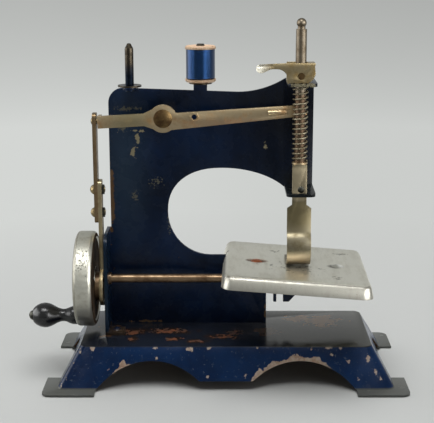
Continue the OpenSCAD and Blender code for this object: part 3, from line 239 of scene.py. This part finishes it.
soft_box("left_box", (-1.45, -0.05, 0.5), (1.9, 1.0), 25).visible_diffuse = False
soft_box("right_box", (1.25, -0.9, 0.5), (1.6, 1.0), 34).visible_diffuse = False
soft_box("front_box", (-0.2, -0.72, 1.64), (1.2, 0.5), 20).visible_diffuse = False
soft_box("top_box", (-0.05, 0.1, 1.95), (2.0, 2.2), 43).visible_glossy = False
print("lamps:", len(bpy.data.lights))

# %% [markdown]
# ## Patterns in millimetres
#
# Wear isn't spread evenly. A cloudy pattern gives the tarnish, and soft spots say where a hand or a screw has rubbed
# the paint away; a few spots are painted highlights and shade. Both take their sizes in millimetres, so that a scratch
# on the wheel and one on the plate agree. A spot's place is measured from the middle of the base.

# %% Clouds and spots
def cloud(tree, coords, size, low, high, stretch=(1, 1, 1)):
    spread = add(tree, "VectorMath", {0: coords, 1: [1 / s for s in stretch]}, operation="MULTIPLY").outputs[0]
    noise = add(tree, "TexNoise", {"Vector": spread, "Scale": 1 / (size * MM), "Detail": 5, "Roughness": 0.6})
    return add(tree, "MapRange", {"Value": noise.outputs[0], "From Min": low, "From Max": high}).outputs[0]


def spot(tree, coords, place, reach, soft):
    centre = [BASE_X + place[0] * MM, place[1] * MM, place[2] * MM]
    away = add(tree, "VectorMath", {0: coords, 1: centre}, operation="SUBTRACT").outputs[0]
    away = add(tree, "VectorMath", {0: away, 1: [1 / (r * MM) for r in reach]}, operation="MULTIPLY").outputs[0]
    away = add(tree, "VectorMath", {0: away}, operation="LENGTH").outputs["Value"]
    return add(tree, "MapRange", {"Value": away, "From Min": 1 + soft, "From Max": 1 - soft}).outputs[0]


def strongest(tree, coords, spots):
    total = None
    for place, reach in spots:
        one = spot(tree, coords, place, reach, 0.8)
        total = one if total is None else add(tree, "Math", {0: total, 1: one}, operation="MAXIMUM").outputs[0]
    return total


print("patterns are measured in units of", MM, "m")

# %% [markdown]
# A worn patch has a ragged outline. A fine cloud is lifted where the spots are, and a narrow step through the sum
# cuts out the islands that are left bare. A higher level leaves fewer of them.

# %% Worn patches
LIFT = 0.45
STEP = 0.04


def wear(tree, coords, spots, size, level):
    grain = cloud(tree, coords, size, 0, 1)
    ragged = add(tree, "Math", {0: strongest(tree, coords, spots), 1: LIFT, 2: grain}, operation="MULTIPLY_ADD")
    return add(tree, "MapRange", {"Value": ragged.outputs[0], "From Min": level,
                                  "From Max": level + STEP}).outputs[0]


print("a patch fades over", STEP)

# %% [markdown]
# A finish is built in coats, each laid over the last where a pattern says so. At the end the colour, the dullness and
# the small unevenness go to the shader. Bare metal and primer are duller than the paint around them.

# %% Coats
WORN_DULLER = 0.3


def coat(tree, under, over, mask, strength=1):
    if strength != 1:
        mask = add(tree, "Math", {0: mask, 1: strength}, operation="MULTIPLY").outputs[0]
    return add(tree, "Mix", {0: mask, 6: under, 7: over}, data_type="RGBA").outputs[2]


def set_surface(tree, shader, colour, dull=None, worn=None, height=None, depth=0):
    tree.links.new(colour, shader.inputs["Base Color"])
    if dull is not None:
        mask, least, most = dull
        rough = add(tree, "MapRange", {"Value": mask, "To Min": least, "To Max": most}).outputs[0]
        if worn is not None:
            rough = add(tree, "Math", {0: worn, 1: WORN_DULLER, 2: rough}, operation="MULTIPLY_ADD").outputs[0]
        tree.links.new(rough, shader.inputs["Roughness"])
    if height is not None:
        bump = add(tree, "Bump", {"Height": height, "Distance": depth * MM, "Strength": 1.0})
        tree.links.new(bump.outputs[0], shader.inputs["Normal"])


print("bare patches are duller by", WORN_DULLER)

# %% [markdown]
# ## Dark blue enamel of the body
#
# The body was dipped in a navy enamel that dried to a gloss. Where it was knocked, the tan primer and the steel show.
# The eye reads it as almost black with soft blue lights, broken by dull scuffs.

# %% Places of wear on the body
BODY_FRONT = 8.4
RUBBED = [((-45.3, BODY_FRONT, 118), (1.5, 4, 5)), ((-47.6, BODY_FRONT, 111.7), (1.9, 4, 3.6)),
          ((-44.5, BODY_FRONT, 122.5), (4, 4, 1)), ((20.2, BODY_FRONT, 114.6), (1.2, 4, 2.4)),
          ((37, -16.6, 148.9), (10, 2.5, 2))]
SCUFFED = [((-50, BODY_FRONT, 134), (12, 4, 2.2)), ((-46.8, BODY_FRONT, 89), (3.4, 4, 6)),
           ((-36, BODY_FRONT, 96), (6, 4, 4)), ((-29.6, BODY_FRONT, 74), (1.6, 4, 10)),
           ((-53, BODY_FRONT, 124), (5, 4, 4))]
EDGES = [((-58.8, BODY_FRONT, 100), (1.3, 3, 6)), ((-58.8, BODY_FRONT, 81), (1.5, 3, 12)),
         ((-61, 0, 21), (3, 14, 1.4)), ((-55, -6, 20.5), (8, 12, 1.6)),
         ((-44, BODY_FRONT, 20.6), (18, 3, 1)), ((20.8, BODY_FRONT, 26), (0.9, 3, 6))]
print("worn places on the body:", len(RUBBED) + len(SCUFFED) + len(EDGES))

# %% [markdown]
# The coats go from the enamel itself to the dust on it, and then to the bare patches. The edge beside the rod was
# rubbed most, so it has a long brown strip of its own.

# %% Enamel of the body
enamel, tree, shader, coords = start("navy_enamel", Specular_IOR_Level=0.16)
# The enamel: nearly black, with blue clouds, a darker head, a grey patch low on the head, a teal strip at the left edge
# and a lighter patch on the left third.
tone = coat(tree, "#09182f", "#122a4e", cloud(tree, coords, 34, 0.35, 0.65))
tone = coat(tree, tone, "#0a0c10", spot(tree, coords, (34, 0, 132), (30, 40, 26), 0.8), 0.9)
tone = coat(tree, tone, "#1b2023", spot(tree, coords, (38, -6, 96), (13, 26, 8), 0.4))
tone = coat(tree, tone, "#39434d", cloud(tree, coords, 1.6, 0.64, 0.72), 0.5)
tone = coat(tree, tone, "#152b3b", strongest(tree, coords, [((-61.5, -8, 46), (2.2, 10, 30))]))
tone = coat(tree, tone, "#2c3f55", strongest(tree, coords, [((-52, BODY_FRONT, 105), (9, 6, 30))]), 0.9)
# The wear: tan primer, grey scuffs and brown edges.
rubbed = wear(tree, coords, RUBBED, 2.2, 0.82)
tone = coat(tree, tone, "#a0977a", rubbed)
tone = coat(tree, tone, "#7d7a68", wear(tree, coords, SCUFFED, 1.0, 0.91), 0.75)
edge = wear(tree, coords, EDGES, 2.4, 0.88)
tone = coat(tree, tone, "#75593c", edge)
tone = coat(tree, tone, "#6b5138", wear(tree, coords, [((-59.3, BODY_FRONT, 87), (1.3, 4, 18))], 3, 0.72))
tone = coat(tree, tone, "#43362a", spot(tree, coords, (-55, -8, 20.4), (8, 14, 1.6), 0.3))
bare = add(tree, "Math", {0: rubbed, 1: edge}, operation="MAXIMUM").outputs[0]
set_surface(tree, shader, tone, (cloud(tree, coords, 9, 0.35, 0.7), 0.2, 0.36), bare,
            cloud(tree, coords, 2.4, 0, 1), 0.02)
print("finish:", enamel.name)

# %% [markdown]
# ## Blue enamel of the base
#
# The base has the same enamel, but its sloping skirts catch more light and look bluer, so the base is painted a bluer
# copy of the body's colour, as painted light. A chip starts at an edge and eats inwards, so along the arches the depth
# of a chip depends on the distance from the arch. Both arches are the same circle, so the pattern folds one side of the
# base onto the other.

# %% Chips along the arches
ARCH_X, ARCH_Z, ARCH_R = 37, -22.6, 36
ARCH_KNOCKS = [((35, -33, 15), (6, 20, 20)), ((45, -34, 14), (6, 20, 20)), ((24, -35, 13), (7, 20, 20)),
               ((16, -36, 11), (3, 20, 20)), ((-51.6, -35, 12.8), (3, 20, 20))]


def arch_chips(tree, coords):
    centred = add(tree, "VectorMath", {0: coords, 1: (BASE_X, 0, ARCH_Z * MM)}, operation="SUBTRACT").outputs[0]
    folded = add(tree, "VectorMath", {0: centred}, operation="ABSOLUTE").outputs[0]
    aside = add(tree, "VectorMath", {0: folded, 1: (ARCH_X * MM, 0, 0)}, operation="SUBTRACT").outputs[0]
    flat = add(tree, "VectorMath", {0: aside, 1: (1 / MM, 0, 1 / MM)}, operation="MULTIPLY").outputs[0]
    away = add(tree, "VectorMath", {0: flat}, operation="LENGTH").outputs["Value"]
    past = add(tree, "Math", {0: away, 1: ARCH_R}, operation="SUBTRACT").outputs[0]
    knocks = strongest(tree, coords, ARCH_KNOCKS)
    eaten = add(tree, "Math", {0: knocks, 1: 3.2, 2: -4.1}, operation="MULTIPLY_ADD").outputs[0]
    eaten = add(tree, "Math", {0: cloud(tree, coords, 4, 0, 1), 1: 6, 2: eaten}, operation="MULTIPLY_ADD").outputs[0]
    left = add(tree, "Math", {0: past, 1: eaten}, operation="SUBTRACT").outputs[0]
    return add(tree, "MapRange", {"Value": left, "From Min": 0.3, "From Max": 0.0}).outputs[0]


print("knocks on the arches:", len(ARCH_KNOCKS))

# %% [markdown]
# Elsewhere small knocks show the pale primer. They are listed as they lie on the front skirt, by their distance from
# the middle and their height, and the skirt's slope gives the depth.

# %% Knocks on the skirts
BASE_TOP = 19.7
SKIRT_FRONT = -30
SKIRT_SLOPE = 0.72
KNOCKS = [(-66.7, 19.2, 1.8, 2), (-34.5, 19.4, 2, 1), (-18.9, 18.8, 2.2, 1.3), (-8, 19.2, 2, 0.9),
          (-34.2, 14.6, 1.3, 1), (-9, 7, 1.4, 1.2), (9.8, 6.9, 1.3, 1.3), (43.2, 18.6, 2, 1.4), (51, 19.3, 2.6, 0.9),
          (57, 19.2, 1, 1),
          (15.8, 19.3, 1, 0.9), (52.4, 16, 1.2, 0.8), (60.9, 13.2, 1.3, 1), (65.6, 5.8, 1.2, 1.2), (-58, 9.6, 1.3, 1),
          (70.5, 15, 1.1, 2), (74, 10, 1.1, 2.4), (76.5, 6, 1, 2), (-73, 18, 0.8, 2), (-76, 13, 0.7, 3),
          (-79, 8, 0.7, 3), (-81.6, 3, 0.8, 2)]
SKIRT_KNOCKS = [((across, SKIRT_FRONT - (BASE_TOP - up) * SKIRT_SLOPE, up), (width, 6, height))
                for across, up, width, height in KNOCKS]
print("knocks on the skirts:", len(SKIRT_KNOCKS))

# %% [markdown]
# Rust has crept over the top in front of the body, grime has settled where a cloth can't reach, and a broad stain
# lies behind the cloth plate.

# %% Rust on the top
CREEP = [((-0.3, -13.7, BASE_TOP), (9, 5, 3)), ((4.4, -7, BASE_TOP), (5, 5, 3)), ((-30, -5, BASE_TOP), (13, 5, 3)),
         ((-48.3, -7, BASE_TOP), (7, 5, 3)), ((-26.5, -16.7, BASE_TOP), (5, 3, 3)), ((-14.8, -20, BASE_TOP), (5, 3, 3)),
         ((-47.3, -17, BASE_TOP), (3, 4, 3))]
GRIME = [((21, -6, BASE_TOP), (9, 8, 3)), ((-60, -4, BASE_TOP), (6, 12, 3))]
STAIN = [((51, 11, BASE_TOP), (11, 10, 4)), ((38, 15, BASE_TOP), (8, 6, 4))]


def rusted(tree, coords, tone, top):
    for colour, places, size, level, strength in (("#755435", GRIME, 5, 0.8, 0.8), ("#c08a52", STAIN, 5, 0.76, 0.8)):
        patch = wear(tree, coords, places, size, level)
        patch = add(tree, "Math", {0: patch, 1: top}, operation="MULTIPLY").outputs[0]
        tone = coat(tree, tone, colour, patch, strength)
    return tone


print("rusty places on the top:", len(CREEP) + len(GRIME) + len(STAIN))

# %% [markdown]
# One function makes the enamel of the base twice, because the top is glossier than the skirts: it mirrors the pale
# room behind, and turns grey there.

# %% Enamel of the base
def base_finish(name, gloss, rough):
    finish, tree, shader, coords = start(name, Specular_IOR_Level=gloss)
    z = add(tree, "SeparateXYZ", {0: coords}).outputs[2]
    top = add(tree, "MapRange", {"Value": z, "From Min": 19.2 * MM, "From Max": 19.6 * MM}).outputs[0]
    sides = add(tree, "Math", {0: 1, 1: top}, operation="SUBTRACT").outputs[0]
    # The enamel with its specks of dust, greyer on the top, and greyest at the right as a painted reflection of the
    # pale room.
    tone = coat(tree, "#061f42", "#0d305c", cloud(tree, coords, 26, 0.35, 0.65))
    tone = coat(tree, tone, "#5a6675", cloud(tree, coords, 1.5, 0.61, 0.7), 0.6)
    tone = coat(tree, tone, "#262622", top, 0.75)
    painted_reflection = spot(tree, coords, (56, 0, BASE_TOP), (32, 60, 6), 0.3)
    tone = coat(tree, tone, "#3d3d33", add(tree, "Math", {0: painted_reflection, 1: top}, operation="MULTIPLY").outputs[0], 0.8)
    # Pale primer in the chips and knocks of the skirts.
    bare = add(tree, "Math", {0: arch_chips(tree, coords), 1: wear(tree, coords, SKIRT_KNOCKS, 2, 0.8)},
               operation="MAXIMUM").outputs[0]
    bare = add(tree, "Math", {0: bare, 1: sides}, operation="MULTIPLY").outputs[0]
    tone = coat(tree, tone, coat(tree, "#a98a74", "#bfae9c", cloud(tree, coords, 2, 0.4, 0.6)), bare)
    # Rust on the top, with a darker halo.
    halo = add(tree, "Math", {0: wear(tree, coords, CREEP, 5, 0.72), 1: top}, operation="MULTIPLY").outputs[0]
    tone = coat(tree, tone, "#33271f", halo)
    crept = wear(tree, coords, CREEP, 2.8, 0.845)
    tone = coat(tree, tone, coat(tree, "#4d3a30", "#885234", cloud(tree, coords, 5, 0.4, 0.6)), crept)
    tone = rusted(tree, coords, tone, top)
    # The feet: painted grey as the glare of the pale table on them.
    feet_glare = add(tree, "MapRange", {"Value": z, "From Min": 1.9 * MM, "From Max": 1.3 * MM}).outputs[0]
    tone = coat(tree, tone, "#686961", feet_glare, 0.85)
    worn = add(tree, "Math", {0: bare, 1: crept}, operation="MAXIMUM").outputs[0]
    set_surface(tree, shader, tone, (cloud(tree, coords, 8, 0.35, 0.7), rough[0], rough[1]), worn,
                cloud(tree, coords, 2.6, 0, 1), 0.03)
    print("finish:", name)
    return finish


base_enamel = base_finish("blue_enamel_skirt", 0.13, (0.12, 0.3))
top_enamel = base_finish("blue_enamel_top", 0.6, (0.1, 0.24))

# %% [markdown]
# ## Tarnished metal
#
# The plating has gone warm and grey, and brown stains spread where it wore through, so the metal reads soft and olive
# rather than like a mirror. A veil of tarnish dulls it, fine pits break the light, and spots and flecks say where a
# piece is cleaner or rustier; a few spots are painted highlights and shade. All the metals share this recipe.

# %% Recipe for tarnished metal
def tarnished(name, bright, stain, size, level, rough, depth=0.02, stretch=(1, 1, 1), pit=0.8, pitted=0.64, spots=(),
              flecks=(), dish=None):
    finish, tree, shader, coords = start(name, Metallic=1.0)
    veil = cloud(tree, coords, size, level - 0.1, level + 0.12, stretch)
    tone = coat(tree, bright, stain, veil)
    tone = coat(tree, tone, "#3d3528", cloud(tree, coords, pit, pitted, pitted + 0.08), 0.7)
    for colour, place, reach, soft in spots:
        tone = coat(tree, tone, colour, spot(tree, coords, place, reach, soft))
    for colour, grain, sparse, places in flecks:
        tone = coat(tree, tone, colour, wear(tree, coords, places, grain, sparse))
    height = add(tree, "Math", {0: cloud(tree, coords, pit, 0, 1), 1: depth}, operation="MULTIPLY").outputs[0]
    if dish:
        place, reach, deep = dish
        hollow = spot(tree, coords, place, reach, 1)
        height = add(tree, "Math", {0: hollow, 1: -deep, 2: height}, operation="MULTIPLY_ADD").outputs[0]
    set_surface(tree, shader, tone, (veil, rough[0], rough[1]), None, height, 1)
    print("finish:", name)
    return finish


# The lever: warm grey with a greener left end and red flecks where the plating is gone.
nickel = tarnished("tarnished_nickel", "#b9a685", "#9b7b56", 6, 0.58, (0.32, 0.46),
                   spots=[("#948b6a", (-48, 0, 130), (10, 8, 10), 0.6), ("#a58469", (6, 0, 128), (20, 9, 2.6), 0.7)],
                   flecks=[("#b0663c", 1.5, 0.86, [((8, 0, 130.5), (16, 8, 1.6)), ((-8, 0, 126.5), (10, 8, 1.6))])])

# %% [markdown]
# The rods and the presser wear the same plating. A strip seen edge on looks darker than one that faces the lamps, so
# the upper rod gets a darker copy of it as painted shade and the lower rod a lighter copy as painted light. The foot's
# sole carries a painted reflection.

# %% Nickel of the rods and the presser
# The upper strip: dull brown grey, darker as painted shade.
painted_shade_upper_rod = tarnished("painted_shade_upper_rod", "#7f6c52", "#5e4c35", 6, 0.56, (0.36, 0.5))
# The lower strip: painted lighter, as painted light from the left lamp.
painted_lit_lower_rod = tarnished("lower_rod_painted_lit", "#a29577", "#7d6d50", 6, 0.56, (0.32, 0.46))
# The presser bar: a darker brown behind the spring, a painted shade of the coil, and paler below it.
shank_nickel = tarnished("warm_nickel", "#6f6658", "#504434", 6, 0.58, (0.4, 0.5),
                         spots=[("#5a4a3b", (36.4, -11.2, 122), (6, 6, 25), 0.06),
                                ("#8d8169", (36.4, -13, 99), (8, 8, 10), 0.1)])
# The foot: olive in its bend, with a pinkish painted reflection of the plate at its sole.
foot_nickel = tarnished("foot_nickel", "#7c7562", "#5b533e", 6, 0.55, (0.36, 0.48),
                        spots=[("#625a43", (36, -14, 84), (9, 3, 9), 0.5), ("#958a72", (36, -17, 100), (9, 9, 9), 0.1),
                               ("#998b75", (36, -16, 61), (9, 14, 4), 0.4)])
# The lifter: its tip carries a painted white highlight and is slightly hollow from the finger that turns it.
lifter_nickel = tarnished("lifter_nickel", "#b0a07c", "#88744d", 5, 0.55, (0.3, 0.42),
                          spots=[("#dcd8c8", (13.5, -14.5, 156.5), (6.5, 4, 4), 0.4)],
                          dish=((13.4, -14.5, 157.6), (5, 12, 3), 3.8))
# The spring: dull wire with little shine.
spring_steel = tarnished("spring_steel", "#8a8370", "#5c5341", 3, 0.5, (0.48, 0.6))

# %% [markdown]
# The small parts were left plain or were plated thinly, so they have gone darkest. The two spool pins still carry
# some of the body's enamel at their feet.

# %% Dark and brown metals
# Nuts and hidden parts: near black steel.
dark_steel = tarnished("dark_steel", "#45453f", "#292823", 3, 0.5, (0.35, 0.55))
# The shaft: brown, with a thin light along it.
brown_copper = tarnished("brown_copper", "#826d56", "#574433", 6, 0.52, (0.32, 0.46))
# The lever's pivot: a dull brown disc.
pivot_brown = tarnished("pivot_brown", "#665336", "#443321", 4, 0.5, (0.36, 0.48))
# The rivet in the cloth plate: the one red spot.
red_copper = tarnished("red_copper", "#b06a48", "#5f3626", 2, 0.5, (0.4, 0.55))
# Screws: yellow grey.
old_brass = tarnished("tarnished_brass", "#8b7c5b", "#564a36", 3, 0.5, (0.3, 0.5))
# The spool pins: almost black, blue towards the foot.
pin_steel = tarnished("tarnished_pin", "#494237", "#2b2720", 4, 0.5, (0.25, 0.42),
                      spots=[("#1c2430", (-48, 1, 147.6), (4, 4, 9), 0.3),
                             ("#1c2430", (-13, 16, 150), (4, 4, 12), 0.5)])

# %% [markdown]
# The wheel and the cloth plate are bright steel. Hands keep them clean, so they are the lightest pieces, with dark pits
# on the wheel and faint smudges on the plate. Surfaces that no hand reaches have rusted brown, and inside the wheel
# that brown is also painted shade.

# %% Bright steel and rust
# The wheel's rim: pale, pitted where it shines, with a painted shade on its lower front.
wheel_steel = tarnished("wheel_steel", "#bab9ae", "#a09d91", 3, 0.6, (0.4, 0.5), 0.02, pit=1.1, pitted=0.66,
                        spots=[("#96938a", (-71, -18, 27), (12, 18, 14), 0.6)],
                        flecks=[("#4b4a42", 0.9, 0.97, [((-71.5, -22, 63), (8, 18, 14))])])
# The cloth plate: the palest metal, brushed along its length, with a dark brown almond round the rivet and a painted
# shade left of the stud.
plate_steel = tarnished("cloth_plate_steel", "#e4e2d6", "#cfccbf", 9, 0.56, (0.36, 0.44), 0.006, (0.5, 2, 1),
                        pitted=0.7,
                        spots=[("#6b5140", (15.7, -5.3, 57), (5.4, 3, 8), 0.2),
                               ("#6f6b60", (55.2, -6.6, 57), (3.2, 3, 8), 0.3)],
                        flecks=[("#8f8c80", 3, 1.0, [((34, -12, 57), (34, 26, 8))]),
                                ("#8b887c", 2.5, 0.88, [((0.9, 12, 57), (3.5, 4, 8)), ((26, 15, 57), (4, 3, 8)),
                                                        ((54.8, -26, 57), (4, 4, 8)), ((61, 18, 57), (5, 4, 8))])])
# The stud: a painted highlight on its right side only.
stud_steel_and_highlight = tarnished("stud_steel_and_highlight", "#b5b4aa", "#96948b", 3, 0.6, (0.3, 0.36),
                       spots=[("#fffef8", (58.6, -5.5, 57), (1.6, 3, 6), 0.5)])
# The plate's front lip and the wheel's outer face: the same steel, painted greyer as shade.
lip_painted_shade = tarnished("cloth_lip_painted_shade", "#a3a198", "#918e85", 9, 0.56, (0.36, 0.44), 0.006, (0.5, 2, 1))
rim_painted_shade = tarnished("wheel_edge_painted_shade", "#8d8b80", "#77746a", 3, 0.6, (0.45, 0.55))
# Rust: dry brown without shine, under the base and inside the wheel, where it is also painted shade.
rust, tree, shader, coords = start("brown_rust_and_painted_shade", Roughness=0.85, Specular_IOR_Level=0.1)
set_surface(tree, shader, coat(tree, "#2e2318", "#5a4430", cloud(tree, coords, 5, 0.35, 0.65)))
print("finish:", rust.name)

# %% [markdown]
# ## Lacquer, wood and thread
#
# The knob is turned wood under black lacquer, so it stays dark and mirrors the lamps. The reel is bare birch with
# fine rings about its axis. The thread is a polished cotton that shines along each turn.

# %% Lacquer, wood and thread
# Lacquer: black, with small sharp lights.
lacquer, tree, shader, coords = start("black_lacquer", Specular_IOR_Level=0.5)
set_surface(tree, shader, coat(tree, "#08080a", "#17171a", cloud(tree, coords, 4, 0.4, 0.7)),
            (cloud(tree, coords, 3, 0.4, 0.7), 0.22, 0.3), None, cloud(tree, coords, 1.8, 0, 1), 0.006)
# Birch: pale and warm, with faint rings.
wood, tree, shader, coords = start("spool_birch")
rings = cloud(tree, coords, 1.1, 0.35, 0.65, (1, 1, 6))
set_surface(tree, shader, coat(tree, "#ffdcb8", "#e8ba90", rings), (rings, 0.38, 0.55), None, rings, 0.02)
# Cotton: deep blue, with two bright bands from the side lamps.
cotton, tree, shader, coords = start("navy_cotton", IOR=2.0, Specular_Tint=linear("#5f9cf5"))
fibres = cloud(tree, coords, 0.5, 0.35, 0.65, (1, 1, 0.4))
set_surface(tree, shader, coat(tree, "#030812", "#051022", fibres), (fibres, 0.18, 0.26), None, fibres, 0.01)
print("finishes:", len(bpy.data.materials))

# %% [markdown]
# ## Finishes on the CAD nodes
#
# Each solid names a material slot. A few pieces of the same slot have aged differently, and a few carry painted light
# or shade, so they get a finish of their own.

# %% Dress the CAD nodes
by_slot = {"navy_paint": enamel, "nickel": nickel, "bright_steel": wheel_steel, "dark_steel": dark_steel,
           "copper_brown": brown_copper, "tarnished_brass": old_brass, "black_lacquer": lacquer, "spool_wood": wood,
           "navy_thread": cotton}
special = {"base": base_enamel, "cloth_plate": plate_steel, "presser_spring": spring_steel,
           "presser_bar": shank_nickel, "presser_foot": foot_nickel, "presser_lifter": lifter_nickel,
           "upper_rod": painted_shade_upper_rod, "lower_rod": painted_lit_lower_rod, "rod_screws": old_brass, "rod_nuts": dark_steel,
           "rod_rivet": old_brass, "spare_pin": pin_steel, "spare_washer": pin_steel, "spool_pin": pin_steel,
           "spool_washer": pin_steel, "pivot_screw": pivot_brown, "lifter_pin": pivot_brown,
           "cloth_rivet": red_copper, "feed_stud": stud_steel_and_highlight, "knob_rivet": dark_steel, "left_bush": brown_copper}
for part in frame["record"]["subparts"]:
    node = nodes[part["node"]]
    node.data.materials.clear()
    node.data.materials.append(special.get(part["node"], by_slot[part["material_slot"]]))

# %% [markdown]
# ## Rounded sheet metal
#
# Pressed sheet never has a knife edge: the die rounds it and the paint rounds it more. Each visible sheet is a copy
# of its solid with the loose triangles joined, flat faces merged and every sharp edge bevelled by a fraction of a
# millimetre, which gives the thin lights along the edges.

# %% Helpers for rounding
homes = {name: body for body, names in frame["record"]["behaviour"]["bodies"].items() for name in names}


def only(piece):
    bpy.ops.object.select_all(action="DESELECT")
    piece.select_set(True)
    bpy.context.view_layer.objects.active = piece


def adopt(piece, *names):
    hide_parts(*names)
    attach(piece, homes[names[0]])


def rounded(name, width, sharp=50, smooth=35):
    piece = bpy.data.objects.new(name + "_piece", nodes[name].data.copy())
    scene.collection.objects.link(piece)
    only(piece)
    bpy.ops.object.mode_set(mode="EDIT")
    bpy.ops.mesh.select_mode(type="EDGE")
    bpy.ops.mesh.select_all(action="SELECT")
    bpy.ops.mesh.remove_doubles(threshold=0.002 * MM)
    bpy.ops.mesh.dissolve_limited(angle_limit=math.radians(1))
    bpy.ops.mesh.select_all(action="DESELECT")
    bpy.ops.mesh.edges_select_sharp(sharpness=math.radians(sharp))
    bpy.ops.mesh.bevel(offset=width * MM, segments=3, clamp_overlap=True)
    bpy.ops.object.mode_set(mode="OBJECT")
    bpy.ops.object.shade_smooth_by_angle(angle=math.radians(smooth))
    adopt(piece, name)
    print(name, "faces", len(piece.data.polygons))
    return piece


print("bodies that pieces ride on:", len(set(homes.values())))

# %% [markdown]
# Three of the large pieces have more than one finish: the base is glossy above and rusty below, the wheel's outer face
# is painted greyer as shade and its inside is rusty and painted dark as shade, and the cloth plate's front lip is
# painted greyer than its top, as shade. The way a face looks tells which finish it gets.

# %% Round the large pieces
def paint_faces(piece, finish, chosen):
    piece.data.materials.append(finish)
    for face in piece.data.polygons:
        if chosen(face):
            face.material_index = len(piece.data.materials) - 1


tray = rounded("base", 0.3)
paint_faces(tray, top_enamel, lambda face: face.normal.z > 0.9 and face.center.z > 19.4 * MM)
paint_faces(tray, rust, lambda face: face.normal.z < -0.3 and face.center.z > MM)
wheel = rounded("handwheel", 0.3, 40)
paint_faces(wheel, rim_painted_shade, lambda face: face.normal.x < -0.3)
paint_faces(wheel, rust, lambda face: face.normal.x > 0.8)
rounded("body_plate", 0.3)
plate = rounded("cloth_plate", 0.2, 60, 45)
paint_faces(plate, lip_painted_shade, lambda face: face.normal.y < -0.35)

# %% [markdown]
# The narrow pieces take one finish each. The thinner ones get a smaller bevel, and the tip of the bare pin is rounded
# off as if turned.

# %% Round the narrow pieces
rounded("needle_lever", 0.3)
rounded("presser_foot", 0.25)
rounded("presser_lifter", 0.25)
rounded("upper_rod", 0.3)
rounded("lower_rod", 0.3)
rounded("spare_pin", 0.7, 20, 60)

# %% [markdown]
# ## Presser spring
#
# A spring is one wire wound on a rod. A ring of the wire's size is screwed up along the bar, and the open ends are
# closed as if cut. It rides on the CAD spring's body and rises with the foot.

# %% Wind the spring
def wind(name, wire, radius, centre, low, high, turns, around, steps, flat=1):
    bpy.ops.object.select_all(action="DESELECT")
    bpy.ops.mesh.primitive_circle_add(vertices=around, radius=wire / 2 * MM, location=(0, 0, 0))
    piece = bpy.context.object
    piece.name = name
    bpy.ops.object.mode_set(mode="EDIT")
    bpy.ops.mesh.select_all(action="SELECT")
    bpy.ops.transform.rotate(value=math.pi / 2, orient_axis="X", center_override=(0, 0, 0))
    bpy.ops.transform.resize(value=(flat, 1, 1), center_override=(0, 0, 0))
    bpy.ops.transform.translate(value=(radius * MM, 0, (low + wire / 2) * MM))
    bpy.ops.object.mode_set(mode="OBJECT")
    screw = piece.modifiers.new("turns", "SCREW")
    screw.axis = "Z"
    screw.iterations = turns
    screw.screw_offset = (high - low - wire) / turns * MM
    screw.steps = screw.render_steps = steps
    screw.use_smooth_shade = True
    bpy.ops.object.modifier_apply(modifier=screw.name)
    bpy.ops.object.mode_set(mode="EDIT")
    bpy.ops.mesh.select_all(action="DESELECT")
    bpy.ops.mesh.select_mode(type="EDGE")
    bpy.ops.mesh.select_non_manifold(extend=False, use_wire=False, use_multi_face=False, use_non_contiguous=False,
                                     use_verts=False)
    bpy.ops.mesh.edge_face_add()
    bpy.ops.mesh.select_all(action="SELECT")
    bpy.ops.mesh.normals_make_consistent(inside=False)
    bpy.ops.transform.translate(value=centre)
    bpy.ops.object.mode_set(mode="OBJECT")
    print(name, "faces", len(piece.data.polygons))
    return piece


SPRING_WIRE = 0.85
low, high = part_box("presser_spring")
coil_d = (high[0] - low[0]) / MM
spring = wind("spring_piece", SPRING_WIRE, (coil_d - SPRING_WIRE) / 2,
              ((low[0] + high[0]) / 2, (low[1] + high[1]) / 2, 0), low[2] / MM, high[2] / MM, 15, 12, 32)
spring.data.materials.append(spring_steel)
adopt(spring, "presser_spring")
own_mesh(spring)

# %% [markdown]
# ## Thread on the reel
#
# The thread lies in tight turns that touch each other, so one winding closes over the reel. A fine screw of a thin
# ring gives the ridges that split the light into bands. The ring is pressed flat, because each turn sinks into the
# ones below.

# %% Wind the thread
THREAD_WIRE = 0.56
THREAD_SUNK = 0.08
low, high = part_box("thread_winding")
pack_d = (high[0] - low[0]) / MM
thread = wind("thread_piece", THREAD_WIRE, pack_d / 2 - THREAD_SUNK,
              ((low[0] + high[0]) / 2, (low[1] + high[1]) / 2, 0), low[2] / MM, high[2] / MM, 30, 12, 40, 0.25)
thread.data.materials.append(cotton)
adopt(thread, "thread_winding", "thread_core")
